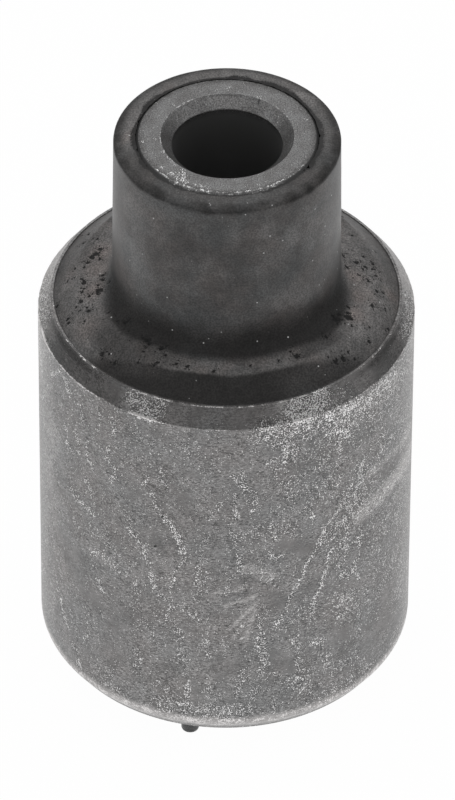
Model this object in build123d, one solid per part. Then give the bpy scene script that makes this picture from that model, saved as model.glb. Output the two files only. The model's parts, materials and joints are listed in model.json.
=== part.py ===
from build123d import *
import os
from math import radians, tan

# Rubber metal bush: a steel tube bonded inside a steel sleeve by one moulding of rubber.
#
# All sizes are in millimetres. The bush stands on the lower clamping face of its inner sleeve.
# The origin is the centre of that face, and +Z runs up the bore towards the long neck.

# Driving dimensions, from the bore outwards
bore_diameter = 14.5        # clearance hole for an M14 bolt
inner_wall = 4.75           # steel round the bore
rubber_wall = 10.9          # rubber between the two sleeves
outer_wall = 2.1            # steel of the pressed-in outer sleeve

# Driving dimensions, from the lower clamping face upwards
foot_height = 4.2           # bare inner sleeve below the outer sleeve
sleeve_length = 57.0        # outer sleeve, end to end
neck_height = 26.8          # inner sleeve above the outer sleeve

# Inner sleeve ends
countersink_leg = 1.5       # 45 degree lead-in for the bolt, both ends
edge_break = 0.3            # 45 degree break on the outer edge, both ends

# Outer sleeve ends
upper_lead_length = 2.4     # lead-in cone, measured along the axis
upper_rim_flat = 0.35       # flat ring left between that cone and the sleeve's inner wall
lower_lead_length = 2.2
lower_rim_flat = 0.6

# Rubber neck, which coats the inner sleeve
neck_coat = 2.9             # rubber on the inner sleeve at the top of the neck
neck_draft = 0.6            # mould draft of the neck, degrees
neck_set_down = 0.2         # rubber ends this far below the clamping face
neck_corner_radius = 1.0
neck_root_radius = 2.2

# Rubber shoulder, which domes up out of the outer sleeve
shoulder_rise = 2.5         # crest above the outer sleeve's rim
shoulder_bank = 3.1         # width of the bank between that crest and the sleeve's inner wall
shoulder_pitch = 15.0       # fall from the neck's root out to the crest, degrees
shoulder_crest_radius = 0.8

# Rubber underside, with the stub of its moulding sprue
underside_recess = 1.0      # rubber stops this far inside the outer sleeve's lower rim
nib_diameter = 2.4
nib_wall_gap = 0.1          # between the nib and the sleeve's inner wall
nib_bearing = -102.2        # place of the nib round the axis, degrees from +X
nib_floor_gap = 2.1         # the nib is trimmed this far above the lower clamping face
nib_edge_radius = 0.25

# Derived radii and heights
bore_radius = bore_diameter / 2
inner_radius = bore_radius + inner_wall
sleeve_bore_radius = inner_radius + rubber_wall
outer_radius = sleeve_bore_radius + outer_wall

sleeve_bottom = foot_height
sleeve_top = sleeve_bottom + sleeve_length
inner_top = sleeve_top + neck_height


def turned(outline):
    """A closed outline of (radius, height) points, as a face in the XZ plane."""
    corners = [(radius, 0, height) for radius, height in outline]
    return make_face(Polyline(*corners, close=True))


def round_corner(face, point, radius):
    """Round the corner of a turned face that lies at (radius, height)."""
    place = Vector(point[0], 0, point[1])
    corner = min(face.vertices(), key=lambda vertex: (Vector(*vertex) - place).length)
    return fillet(corner, radius)


def spun(face):
    """The solid that a turned face sweeps round the Z axis."""
    return revolve(face, axis=Axis.Z)


def inner_sleeve():
    """Thick steel tube that the bolt clamps end to end."""
    outline = [
        (bore_radius, countersink_leg),
        (bore_radius + countersink_leg, 0),
        (inner_radius - edge_break, 0),
        (inner_radius, edge_break),
        (inner_radius, inner_top - edge_break),
        (inner_radius - edge_break, inner_top),
        (bore_radius + countersink_leg, inner_top),
        (bore_radius, inner_top - countersink_leg),
    ]
    return spun(turned(outline))


def outer_sleeve():
    """Thin steel sleeve that is pressed into an eye, with a lead-in cone at each end."""
    outline = [
        (sleeve_bore_radius, sleeve_bottom),
        (sleeve_bore_radius + lower_rim_flat, sleeve_bottom),
        (outer_radius, sleeve_bottom + lower_lead_length),
        (outer_radius, sleeve_top - upper_lead_length),
        (sleeve_bore_radius + upper_rim_flat, sleeve_top),
        (sleeve_bore_radius, sleeve_top),
    ]
    return spun(turned(outline))


def sprue_nib(underside):
    """Short round stub that stands down from the underside, next to the sleeve's wall."""
    nib_radius = nib_diameter / 2
    reach = sleeve_bore_radius - nib_wall_gap - nib_radius
    length = underside - nib_floor_gap
    stub = Cylinder(nib_radius, length, align=(Align.CENTER, Align.CENTER, Align.MIN))
    lower_edge = stub.edges().sort_by(Axis.Z)[0]
    stub = fillet(lower_edge, nib_edge_radius)
    return Rot(Z=nib_bearing) * Pos(reach, 0, nib_floor_gap) * stub


def rubber_body():
    """One moulding: the fill between the sleeves, the shoulder, the neck and the nib."""
    underside = sleeve_bottom + underside_recess
    crest_radius = sleeve_bore_radius - shoulder_bank
    crest_height = sleeve_top + shoulder_rise
    neck_top = inner_top - neck_set_down
    neck_top_radius = inner_radius + neck_coat
    neck_length = neck_top - crest_height
    neck_root = neck_top_radius + neck_length * tan(radians(neck_draft))
    root_height = crest_height + (crest_radius - neck_root) * tan(radians(shoulder_pitch))

    face = turned([
        (inner_radius, underside),
        (sleeve_bore_radius, underside),
        (sleeve_bore_radius, sleeve_top),
        (crest_radius, crest_height),
        (neck_root, root_height),
        (neck_top_radius, neck_top),
        (inner_radius, neck_top),
    ])
    face = round_corner(face, (neck_top_radius, neck_top), min(neck_corner_radius, neck_coat / 2))
    face = round_corner(face, (neck_root, root_height), neck_root_radius)
    face = round_corner(face, (crest_radius, crest_height), shoulder_crest_radius)
    return spun(face) + sprue_nib(underside)


def main():
    os.makedirs("parts", exist_ok=True)
    nodes = {
        "inner_sleeve": inner_sleeve(),
        "rubber_body": rubber_body(),
        "outer_sleeve": outer_sleeve(),
    }
    for name, solid in nodes.items():
        export_step(solid, f"parts/{name}.step")
    print(f"outer diameter {2 * outer_radius:.2f}, overall length {inner_top:.2f}")


main()
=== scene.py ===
# %% [markdown]
# # A rubber metal bush
#
# The bush is three things that never come apart: a thick steel tube for the bolt, a thin steel
# sleeve that is pressed into an eye, and one moulding of rubber that is baked onto both. The
# solids come from the frame, in metres, standing on the floor with +Z up the bore. This file
# gives each of them its real surface: broken edges, torn rubber, scuffed steel.

# %% Load the frame
import json
import math
import random

import bpy
import numpy as np
from mathutils import Matrix, Vector, noise


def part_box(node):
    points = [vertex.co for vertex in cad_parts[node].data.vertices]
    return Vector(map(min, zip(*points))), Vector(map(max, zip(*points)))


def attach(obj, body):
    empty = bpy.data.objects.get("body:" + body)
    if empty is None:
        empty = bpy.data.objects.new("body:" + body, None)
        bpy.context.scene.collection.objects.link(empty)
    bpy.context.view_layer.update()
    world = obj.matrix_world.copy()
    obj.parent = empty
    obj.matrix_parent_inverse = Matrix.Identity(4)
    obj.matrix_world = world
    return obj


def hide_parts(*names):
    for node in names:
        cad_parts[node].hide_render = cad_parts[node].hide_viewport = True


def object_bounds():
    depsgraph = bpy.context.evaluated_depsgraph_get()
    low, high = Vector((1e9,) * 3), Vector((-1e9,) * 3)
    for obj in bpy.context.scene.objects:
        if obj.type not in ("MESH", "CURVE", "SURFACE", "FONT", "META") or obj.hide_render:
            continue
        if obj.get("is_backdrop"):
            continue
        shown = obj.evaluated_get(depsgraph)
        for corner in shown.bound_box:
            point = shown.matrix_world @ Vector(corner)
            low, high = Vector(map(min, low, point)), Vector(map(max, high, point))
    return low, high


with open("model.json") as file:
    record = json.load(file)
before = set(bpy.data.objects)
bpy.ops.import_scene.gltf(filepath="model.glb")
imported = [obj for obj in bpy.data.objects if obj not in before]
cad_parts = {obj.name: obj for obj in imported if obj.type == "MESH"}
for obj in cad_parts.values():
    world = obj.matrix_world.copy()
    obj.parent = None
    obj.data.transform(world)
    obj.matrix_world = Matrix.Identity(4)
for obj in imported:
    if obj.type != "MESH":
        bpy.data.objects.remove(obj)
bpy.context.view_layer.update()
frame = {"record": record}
mm = 0.001

# %% [markdown]
# ## Sizes
#
# A piece that replaces a solid has to stay where the solid is, so every main size is read back
# from the frame: radii and heights from the boxes of the three nodes, the bore from its mount.
# Only the small forms that a box can't tell, such as lead-in cones and the rubber's shoulder,
# are written again here.

# %% Sizes from the frame
inner_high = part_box("inner_sleeve")[1]
outer_low, outer_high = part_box("outer_sleeve")
rubber_low, rubber_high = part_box("rubber_body")
mounts = {mount["name"]: mount for mount in frame["record"]["mounts"]}

bore_radius = mounts["bolt_bore"]["dims"]["r_mm"] * mm
inner_radius = inner_high[0]
outer_radius = outer_high[0]
sleeve_bore_radius = rubber_high[0]
inner_top = inner_high[2]
sleeve_bottom, sleeve_top = outer_low[2], outer_high[2]
neck_top = rubber_high[2]
nib_bottom = rubber_low[2]
print("outer sleeve from", round(sleeve_bottom / mm, 2), "to", round(sleeve_top / mm, 2), "mm")

# %% Small forms
countersink_leg = 1.5 * mm
tube_edge_break = 0.3 * mm
upper_lead = 2.4 * mm
lower_lead = 2.2 * mm
upper_rim_flat = 0.35 * mm
lower_rim_flat = 0.6 * mm
neck_top_radius = 14.9 * mm
neck_corner_across = 1.5 * mm
neck_corner_down = 0.7 * mm
neck_root_radius = 15.15 * mm
neck_root_height = sleeve_top + 3.75 * mm
neck_root_corner_radius = 2.2 * mm
crest_radius = sleeve_bore_radius - 3.1 * mm
crest_height = sleeve_top + 2.5 * mm
crest_corner_radius = 0.8 * mm
underside = sleeve_bottom + 1.0 * mm
nib_radius = 1.2 * mm
nib_place = sleeve_bore_radius - 0.1 * mm - nib_radius
nib_bearing = math.radians(-102.2)
print("the shoulder's crest stands", round((crest_height - sleeve_top) / mm, 2), "mm above the sleeve")

# %% [markdown]
# ## Camera
#
# A small part looks truest from far away through a long lens, because its outline then hardly
# narrows towards the floor. The camera looks down at the bush from about 41 degrees. It is
# easiest to place backwards: choose the point it aims at, the angle and the distance, then
# work out where it has to stand.

# %% Camera
camera_elevation = math.radians(41.02)
camera_roll = math.radians(0.32)
camera_distance = 1.2044
aim_point = Vector((0.22 * mm, 0, 42.28 * mm))
lens_length = 405

look = Vector((0, math.cos(camera_elevation), -math.sin(camera_elevation)))
camera_data = bpy.data.cameras.new("camera")
camera_data.lens = lens_length
camera_data.clip_end = 20
camera = bpy.data.objects.new("camera", camera_data)
bpy.context.collection.objects.link(camera)
turn = look.to_track_quat("-Z", "Y").to_matrix().to_4x4() @ Matrix.Rotation(camera_roll, 4, "Z")
camera.matrix_world = Matrix.Translation(aim_point - look * camera_distance) @ turn
bpy.context.scene.camera = camera
print("camera stands at", [round(v, 3) for v in camera.location])

# %% [markdown]
# ## Node helpers
#
# A material is a small network of nodes. A few helpers keep the recipes short: `add` places a
# node and sets its inputs, and any input that is given a socket is wired to it instead.

# %% Nodes and sums
def wire(tree, socket, value):
    """Wire a socket to another socket, or give it a plain value."""
    if isinstance(value, bpy.types.NodeSocket):
        tree.links.new(value, socket)
    else:
        socket.default_value = value


def add(tree, kind, inputs=None, **settings):
    """Add a shader node, set its properties, and fill or wire its inputs by name."""
    node = tree.nodes.new("ShaderNode" + kind)
    for name, value in settings.items():
        setattr(node, name, value)
    for name, value in (inputs or {}).items():
        wire(tree, node.inputs[name], value)
    return node


def maths(tree, operation, first, second=0.0, clamp=False):
    """One Math node, and its result."""
    node = add(tree, "Math", {0: first, 1: second}, operation=operation, use_clamp=clamp)
    return node.outputs[0]


def plus(tree, first, second):
    """The sum of two values."""
    return maths(tree, "ADD", first, second)


def minus(tree, first, second):
    """The first value less the second."""
    return maths(tree, "SUBTRACT", first, second)


def times(tree, first, second, clamp=False):
    """The product of two values."""
    return maths(tree, "MULTIPLY", first, second, clamp)


def larger(tree, first, second):
    """The larger of two values."""
    return maths(tree, "MAXIMUM", first, second)


def ramp(tree, value, low, high, out_low=0.0, out_high=1.0, kind="SMOOTHSTEP"):
    """Map low..high to out_low..out_high, and stay there outside that range."""
    limits = {"Value": value, "From Min": low, "From Max": high, "To Min": out_low, "To Max": out_high}
    return add(tree, "MapRange", limits, interpolation_type=kind).outputs["Result"]


# %% Colours and noise
def blend(tree, factor, first, second, kind="MIX"):
    """Mix two colours."""
    node = add(tree, "Mix", data_type="RGBA", blend_type=kind)
    for index, value in ((0, factor), (6, first), (7, second)):
        wire(tree, node.inputs[index], value)
    return node.outputs[2]


def lay(tree, colour, mask, strength, over):
    """Lay a second colour over the first where a mask says so."""
    return blend(tree, times(tree, mask, strength), colour, over)


def shade(tree, colour, amount, factor=1.0):
    """Make a colour darker where the amount is under 1 and lighter where it is over 1."""
    return blend(tree, factor, colour, amount, "MULTIPLY")


def solid_noise(tree, place, seed, fineness, detail=0.0, roughness=0.5):
    """Noise through the solid, so that it has no seam on any surface."""
    inputs = {"Vector": place, "W": seed, "Scale": fineness, "Detail": detail, "Roughness": roughness}
    return add(tree, "TexNoise", inputs, noise_dimensions="4D").outputs[0]


def painted(tree, name):
    """Read back a number that was painted on the vertices."""
    return add(tree, "Attribute", attribute_name=name).outputs["Fac"]


def grey(level, warmth=0.0):
    """A linear colour from a display grey of 0..255, a little warmer or cooler."""
    display = [(level + shift) / 255 for shift in (1.3 * warmth, 0, -0.5 * warmth)]
    linear = [((v + 0.055) / 1.055) ** 2.4 for v in display]
    return (*linear, 1.0)


# %% Groups and materials
def new_group(name, inputs, outputs):
    """A shader node group with named inputs and outputs, and its two end nodes."""
    tree = bpy.data.node_groups.new(name, "ShaderNodeTree")
    for label, value in inputs:
        socket = tree.interface.new_socket(label, in_out="INPUT", socket_type="NodeSocketFloat")
        socket.default_value = value
    for label in outputs:
        tree.interface.new_socket(label, in_out="OUTPUT", socket_type="NodeSocketFloat")
    return tree, tree.nodes.new("NodeGroupInput").outputs, tree.nodes.new("NodeGroupOutput").inputs


def use_group(tree, group, **inputs):
    """Place a group in a material and set its inputs; underscores stand for spaces."""
    node = tree.nodes.new("ShaderNodeGroup")
    node.node_tree = group
    for name, value in inputs.items():
        wire(tree, node.inputs[name.replace("_", " ")], value)
    return node.outputs


def new_material(name):
    """An empty node material: its tree, and its Principled shader."""
    material = bpy.data.materials.new(name)
    material.use_nodes = True
    return material, material.node_tree, material.node_tree.nodes["Principled BSDF"]


def raise_skin(tree, shader, relief, strength):
    """Turn a relief of 0..1 into bumps three hundredths of a millimetre high."""
    bump = add(tree, "Bump", {"Strength": strength, "Distance": 0.03 * mm, "Height": relief})
    wire(tree, shader.inputs["Normal"], bump.outputs[0])


# %% [markdown]
# ## Grain that lies round the axis
#
# Turned and drawn tubes are covered in short marks that run round the axis. An image of
# scratches could be wrapped round them, but it would have a seam and its own scale. A solid
# noise has neither: squeezed along Z, it looks like short level dashes on any upright wall and
# like a fine even grain on a flat end. Every piece of this bush uses it at its own fineness.

# %% Group: turned grain
turned_grain, given, result = new_group(
    "turned_grain", [("Fineness", 6000.0), ("Length", 4.0), ("Seed", 0.0)], ["Grain"])
tree = turned_grain
place = add(tree, "TexCoord").outputs["Object"]
across = maths(tree, "DIVIDE", 1.0, given["Length"])
squeeze = add(tree, "CombineXYZ", {"X": across, "Y": across, "Z": 1.0}).outputs[0]
squeezed = add(tree, "VectorMath", {0: place, 1: squeeze}, operation="MULTIPLY").outputs[0]
dashes = solid_noise(tree, squeezed, given["Seed"], given["Fineness"])
dots = solid_noise(tree, place, given["Seed"], given["Fineness"])
half_dashes = times(tree, dashes, 0.5)
half_dots = times(tree, dots, 0.5)
wire(tree, result["Grain"], plus(tree, half_dashes, half_dots))
print("turned_grain has", len(tree.nodes), "nodes")

# %% [markdown]
# ## Mottling
#
# Neither steel that has been through a chemical bath nor rubber that has lain on a shelf is one
# even grey. Two slow noises give patches: one says how light a patch is, the other how warm.

# %% Group: mottle
mottle, given, result = new_group("mottle", [("Fineness", 200.0), ("Seed", 0.0)], ["Light", "Warm"])
tree = mottle
place = add(tree, "TexCoord").outputs["Object"]
second_seed = plus(tree, given["Seed"], 31.0)
for name, seed in (("Light", given["Seed"]), ("Warm", second_seed)):
    patches = solid_noise(tree, place, seed, given["Fineness"], detail=4.0, roughness=0.55)
    wire(tree, result[name], ramp(tree, patches, 0.25, 0.75))
print("mottle has", len(tree.nodes), "nodes")

# %% [markdown]
# ## Frosting
#
# Where steel has knocked or rubbed against steel, its grey film is broken by crowds of tiny
# bright crumbs. A crumb is where a fine noise, helped by a slower one that gathers the crumbs
# into crowds, rises over a limit. The mask moves that limit: well below 0 there are no crumbs,
# at 0 a few stray ones, and at 1 nearly half of the surface. Between the crumbs of a crowd the
# film is bruised darker, and the group says where those gaps are.

# %% Group: frosting
frosting, given, result = new_group(
    "frosting", [("Mask", 0.0), ("Fineness", 6000.0), ("Flatness", 0.7), ("Seed", 0.0)], ["Crumbs", "Gaps"])
tree = frosting
flat = add(tree, "CombineXYZ", {"X": given["Flatness"], "Y": given["Flatness"], "Z": 1.0}).outputs[0]
place = add(tree, "TexCoord").outputs["Object"]
place = add(tree, "VectorMath", {0: place, 1: flat}, operation="MULTIPLY").outputs[0]
fine_noise = solid_noise(tree, place, given["Seed"], given["Fineness"])
crowd_fineness = times(tree, given["Fineness"], 0.25)
crowd_noise = solid_noise(tree, place, given["Seed"], crowd_fineness, detail=1.0)
fine_share = times(tree, fine_noise, 0.74)
crowd_share = times(tree, crowd_noise, 0.26)
level = plus(tree, fine_share, crowd_share)
none_above = 0.775
half_above = 0.491
limit = ramp(tree, given["Mask"], -0.5, 1.0, none_above, half_above, "LINEAR")
above = minus(tree, level, limit)
wire(tree, result["Crumbs"], ramp(tree, above, 0.0, 0.03))
bruised = larger(tree, given["Mask"], 0.0)
wire(tree, result["Gaps"], times(tree, bruised, ramp(tree, above, -0.12, -0.02, 1.0, 0.0)))
print("frosting has", len(tree.nodes), "nodes")

# %% [markdown]
# ## Worn edges
#
# An edge is knocked first, so it is brighter than the faces beside it, but never evenly. The
# closeness to an edge is painted on the vertices; this group breaks that band up with noise.

# %% Group: worn edge
worn_edge, given, result = new_group(
    "worn_edge", [("Edge", 0.0), ("Amount", 0.5), ("Fineness", 900.0), ("Seed", 0.0)], ["Worn"])
tree = worn_edge
place = add(tree, "TexCoord").outputs["Object"]
broken = solid_noise(tree, place, given["Seed"], given["Fineness"], detail=4.0, roughness=0.65)
shift = times(tree, minus(tree, broken, 0.5), 2.2)
level = plus(tree, given["Edge"], shift)
limit = minus(tree, 1.0, given["Amount"])
above = minus(tree, level, limit)
bright = ramp(tree, above, 0.0, 0.25)
in_band = ramp(tree, given["Edge"], 0.02, 0.2)
wire(tree, result["Worn"], times(tree, bright, in_band))
print("worn_edge has", len(tree.nodes), "nodes")

# %% [markdown]
# ## Pits
#
# Small black holes: gas that broke through the rubber's skin, or rust that has eaten a point
# into the steel. The larger ones are painted where they lie, and a fine noise frays their rims.
# Between them, Voronoi cells give one possible pinhole each, and only a share of them is open.

# %% Group: pits
pits, given, result = new_group(
    "pits",
    [("Painted", 0.0), ("Fray", 5000.0), ("Fineness", 700.0), ("Share", 0.1), ("Size", 0.25), ("Seed", 0.0)],
    ["Pit"])
tree = pits
place = add(tree, "TexCoord").outputs["Object"]
fray = solid_noise(tree, place, given["Seed"], given["Fray"], detail=2.0, roughness=0.6)
fray = times(tree, minus(tree, fray, 0.5), 1.8)
large = ramp(tree, plus(tree, given["Painted"], fray), 0.42, 0.6)
large = times(tree, large, ramp(tree, given["Painted"], 0.02, 0.12))
cells = add(tree, "TexVoronoi", {"Vector": place, "W": given["Seed"], "Scale": given["Fineness"]},
            voronoi_dimensions="4D")
draw = add(tree, "SeparateColor", {"Color": cells.outputs["Color"]}).outputs[0]
is_open = maths(tree, "LESS_THAN", draw, given["Share"])
hole = ramp(tree, minus(tree, given["Size"], cells.outputs["Distance"]), 0.0, 0.12)
wire(tree, result["Pit"], larger(tree, large, times(tree, hole, is_open)))
print("pits has", len(tree.nodes), "nodes")

# %% [markdown]
# ## Turning a piece
#
# Every piece here is turned or moulded round one axis, so one function does the work of a
# lathe: it takes the outline of half a section and carries it round the axis. Corners of the
# outline are rounded first, because no real edge is perfectly sharp and an edge only catches
# the light when it has a radius. Each run of the outline says how finely it is divided: finely
# where it will be dented and painted, coarsely where the rubber hides it.

# %% Spacing of the divisions
finest = 0.1 * mm
fine = 0.2 * mm
middling = 0.4 * mm
hidden = 8 * mm
steel_segments = 448
rubber_segments = 560
arc_step = math.radians(15)


# %% Outline with rounded corners
def rounded(corners):
    """Points along a closed outline of (radius, height, corner radius, spacing of the run after it)."""
    count = len(corners)
    stops = []
    for index, (radius, height, size, spacing) in enumerate(corners):
        if size == 0:
            stops.append((Vector((radius, height)), spacing))
            continue
        before = Vector(corners[index - 1][:2])
        here = Vector((radius, height))
        after = Vector(corners[(index + 1) % count][:2])
        back = (before - here).normalized()
        ahead = (after - here).normalized()
        half = back.angle(ahead) / 2
        reach = size / math.tan(half)
        start = here + back * reach
        end = here + ahead * reach
        centre = here + (back + ahead).normalized() * (size / math.sin(half))
        steps = max(2, math.ceil((math.pi - 2 * half) / arc_step))
        for step in range(steps + 1):
            chord = start.lerp(end, step / steps) - centre
            stops.append((centre + chord.normalized() * size, spacing))
    points = []
    for index, (here, spacing) in enumerate(stops):
        after = stops[(index + 1) % len(stops)][0]
        parts = max(1, math.ceil((after - here).length / spacing))
        for part in range(parts):
            points.append(here.lerp(after, part / parts))
    return np.array([tuple(point) for point in points])


def oval_corner(radius, height, across, down, spacing):
    """Outline points of a corner that rolls over broadly on top and tightly at the side."""
    corners = []
    for turn in np.radians(np.arange(0, 91, 7.5)):
        inwards = across * (1 - math.cos(turn))
        downwards = down * (1 - math.sin(turn))
        corners.append((radius - inwards, height - downwards, 0, spacing))
    return corners


# %% Lathe
def turned_mesh(name, outline, segments):
    """A closed mesh of quads: the outline carried round the Z axis."""
    rows = len(outline)
    angles = np.linspace(0, 2 * math.pi, segments, endpoint=False)
    grid = np.empty((segments, rows, 3))
    grid[..., 0] = np.cos(angles)[:, None] * outline[:, 0]
    grid[..., 1] = np.sin(angles)[:, None] * outline[:, 0]
    grid[..., 2] = outline[:, 1]
    row = np.arange(rows)
    after = (row + 1) % rows
    faces = []
    for segment in range(segments):
        here = segment * rows
        there = (segment + 1) % segments * rows
        faces.append(np.stack([here + row, there + row, there + after, here + after], axis=1))
    mesh = bpy.data.meshes.new(name)
    mesh.from_pydata(grid.reshape(-1, 3).tolist(), [], np.concatenate(faces).tolist())
    mesh.update()
    return mesh


# %% [markdown]
# ## Denting and painting
#
# After turning, every vertex is known by its angle from the front, its radius and its height,
# which is how a maker would point at a spot on a round part. Dents move a vertex along these;
# paint stores one number per vertex, which a material reads back with an Attribute node.
# Nearly every mark is made of a few soft masks, so they have short names: `smooth` is one soft
# step, `between` is a step up and a step down, and `near` is a soft spot round one value.

# %% Vertices in round coordinates
def round_places(mesh):
    """Angle from the front in degrees (positive to the right), radius and height of each vertex."""
    values = np.empty(len(mesh.vertices) * 3)
    mesh.vertices.foreach_get("co", values)
    x, y, z = values.reshape(-1, 3).T
    return np.degrees(np.arctan2(x, -y)), np.hypot(x, y), z


def put_back(mesh, angle, radius, height):
    """Move each vertex to a new angle, radius and height."""
    turn = np.radians(angle)
    values = np.stack([np.sin(turn) * radius, -np.cos(turn) * radius, height], axis=1)
    mesh.vertices.foreach_set("co", values.ravel())
    mesh.update()


def paint(mesh, name, values):
    """Store one number per vertex under a name."""
    mesh.attributes.new(name, "FLOAT", "POINT").data.foreach_set("value", values.astype(np.float32))
    print("painted", name, "on", mesh.name, "mean", round(float(values.mean()), 3))


# %% Soft masks
def smooth(value, low, high):
    """0 below low, 1 above high, and a soft step between them."""
    share = np.clip((value - low) / (high - low), 0, 1)
    return share * share * (3 - 2 * share)


def between(value, rise, fall):
    """A soft step up over the first pair of values, and down again over the second."""
    return smooth(value, *rise) * (1 - smooth(value, *fall))


def near(value, at, whole, none):
    """1 where a value is closer than whole to a place, and 0 where it is further than none."""
    return 1 - smooth(np.abs(value - at), whole, none)


def largest(*masks):
    """The largest of several masks at each vertex."""
    return np.maximum.reduce(masks)


def stretches(angle, core, places):
    """Soft stretches round the axis, each (angle, reach) with a strength if it isn't 1.

    The core is the share of a stretch's reach that has its whole strength.
    """
    masks = []
    for at, reach, *strength in places:
        masks.append(math.prod(strength) * near(angle, at, core * reach, reach))
    return largest(*masks)


def bumps(angle, radius, height, size, seed):
    """Soft noise between about -1 and 1; size is how far apart the bumps are."""
    turn = np.radians(angle)
    points = np.stack([np.sin(turn) * radius, -np.cos(turn) * radius, height], axis=1) / size
    points += (seed * 13.7, seed * 7.3, seed * 3.1)
    return np.array([noise.noise(point) for point in points.tolist()])


# %% Marks on a wall and spots on a flat end
def strokes(angle, height, radius, marks):
    """How deep each vertex lies in marks of (strength, width in mm, (angle, height in mm), ...)."""
    depth = np.zeros(len(angle))
    for strength, width, *stops in marks:
        for (from_angle, from_height), (to_angle, to_height) in zip(stops, stops[1:] or stops):
            x = np.radians((angle - from_angle + 180) % 360 - 180) * radius
            y = height - from_height * mm
            run = math.radians(to_angle - from_angle) * radius
            rise = (to_height - from_height) * mm
            share = np.clip((x * run + y * rise) / max(run * run + rise * rise, 1e-12), 0, 1)
            away = np.hypot(x - share * run, y - share * rise)
            depth = np.maximum(depth, strength * smooth(1 - away / (width * mm), 0, 0.7))
    return depth


def away_from(angle, radius, at, from_axis):
    """Level distance of each vertex from a place given by its angle and its millimetres from the axis."""
    spot = from_axis * mm
    squared = radius ** 2 + spot ** 2 - 2 * radius * spot * np.cos(np.radians(angle - at))
    return np.sqrt(np.maximum(squared, 0))


# %% Finished piece
def make_piece(name, mesh, material_slot, *nodes):
    """Put a finished mesh in the scene as the piece of the bush that stands for the named nodes."""
    mesh.shade_smooth()
    piece = bpy.data.objects.new(name, mesh)
    bpy.context.collection.objects.link(piece)
    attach(piece, "root")
    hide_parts(*nodes)
    print(name, "has", len(mesh.polygons), "faces")
    return piece


# %% [markdown]
# ## The outer sleeve
#
# A drawn steel tube, cut to length and turned to a lead-in cone at both ends so that it starts
# squarely into its eye. It could be a plain tube with a bevel, but such sleeves are tumbled
# together in bins: the edges of the upper cone are dinged, and the wall is never quite round.
# So it is turned finely, and then dented by noise.

# %% Outer sleeve mesh
rim_radius = sleeve_bore_radius + upper_rim_flat
cone_width = outer_radius - rim_radius
cone_edge = sleeve_top - upper_lead
lower_edge = sleeve_bottom + lower_lead
lower_rim_radius = sleeve_bore_radius + lower_rim_flat
end_of_cone = 0.15
sleeve_outline = rounded([
    (sleeve_bore_radius, sleeve_bottom, 0.08 * mm, fine),
    (lower_rim_radius, sleeve_bottom, 0.12 * mm, finest),
    (lower_rim_radius + 0.12 * mm, sleeve_bottom + 0.42 * mm, 0.04 * mm, finest),
    (lower_rim_radius + 0.28 * mm, sleeve_bottom + 0.5 * mm, 0.04 * mm, fine),
    (outer_radius, lower_edge, 1.2 * mm, 0.25 * mm),
    (outer_radius, lower_edge + 2 * mm, 0, middling),
    (outer_radius, cone_edge - 1.2 * mm, 0, fine),
    (outer_radius, cone_edge - 0.4 * mm, 0, finest),
    (outer_radius, cone_edge, 0.3 * mm, finest),
    (outer_radius - end_of_cone * cone_width, cone_edge + end_of_cone * upper_lead, 0, fine),
    (rim_radius + end_of_cone * cone_width, sleeve_top - end_of_cone * upper_lead, 0, finest),
    (rim_radius, sleeve_top, 0.06 * mm, finest),
    (sleeve_bore_radius, sleeve_top, 0.05 * mm, hidden),
])
sleeve_mesh = turned_mesh("outer_sleeve_steel", sleeve_outline, steel_segments)
print("outline of", len(sleeve_outline), "points")

# %% Dings and ripples
ding_depth = 0.16 * mm
rim_ding_depth = 0.1 * mm
ripple_depth = 0.015 * mm
angle, radius, height = round_places(sleeve_mesh)
sleeve_outside = radius > sleeve_bore_radius + 0.1 * mm
near_cone_edge = near(height, cone_edge, 0, 0.5 * mm)
near_rim = smooth(height, sleeve_top - 0.35 * mm, sleeve_top - 0.1 * mm)
dings = bumps(angle, radius, height, size=1.1 * mm, seed=1)
ripple = bumps(angle, radius, height * 0.5, size=9 * mm, seed=2)
dent = np.maximum(dings, 0) ** 1.5 * ding_depth * near_cone_edge
dent += np.maximum(-dings, 0) ** 1.5 * rim_ding_depth * near_rim
dent += np.maximum(ripple, -0.2) * ripple_depth
dent = np.where(sleeve_outside, np.maximum(dent, 0), 0)
put_back(sleeve_mesh, angle, radius - dent, height)
print("deepest ding", round(float(dent.max() / mm), 3), "mm")

# %% [markdown]
# ## Marks on the outer sleeve
#
# The marks are painted like a make-up artist ageing a prop: each one is a line of
# angles and heights, with a strength and a width in millimetres before them. Knocks will be
# filled with bright crumbs. Smears are places where the grey film is polished paler, and calm
# places are where it has stayed darker and plain. The front ones are placed one by one; round
# the back they come from a fixed seed.

# %% Knocks under the upper cone
# A frosted belt on the right, and what hangs down from it
belt_knocks = [
    (0.72, 2.8, (12, 57.9), (22, 57.8), (36, 57.4), (50, 56.8), (62, 56.6)),
    (0.95, 1.3, (21, 58.1), (34, 57.9), (45, 57.6)), (0.33, 1.8, (60, 57), (76, 57.2)),
    (0.66, 2.1, (17, 57.5), (19.5, 54.4), (19, 52.4)), (0.46, 1.8, (24, 57), (28, 55.5)),
    (0.59, 1.8, (31, 57), (34, 54.5)), (0.79, 2.2, (35, 56.5), (38, 53.4), (43, 55.8)),
    (0.85, 0.55, (37.2, 53), (36.6, 49.8)), (0.51, 0.5, (36.4, 49), (36, 41.6)),
    (0.46, 2.1, (46, 56), (50, 53.2)), (0.4, 1.8, (54, 55), (57, 53)),
    (0.42, 0.55, (49, 52.1), (61, 52.2)), (0.32, 0.73, (9.5, 57.4), (7.8, 54.6)),
    (0.3, 1.4, (20, 47.8), (17.4, 43.4)), (0.36, 1.6, (33, 47.8), (30.5, 45.2)),
    (0.64, 0.84, (26, 44), (25.6, 42.4)), (0.72, 0.73, (27.2, 41.8), (27, 40.4)),
]
print(len(belt_knocks), "knocks under the upper cone")

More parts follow.
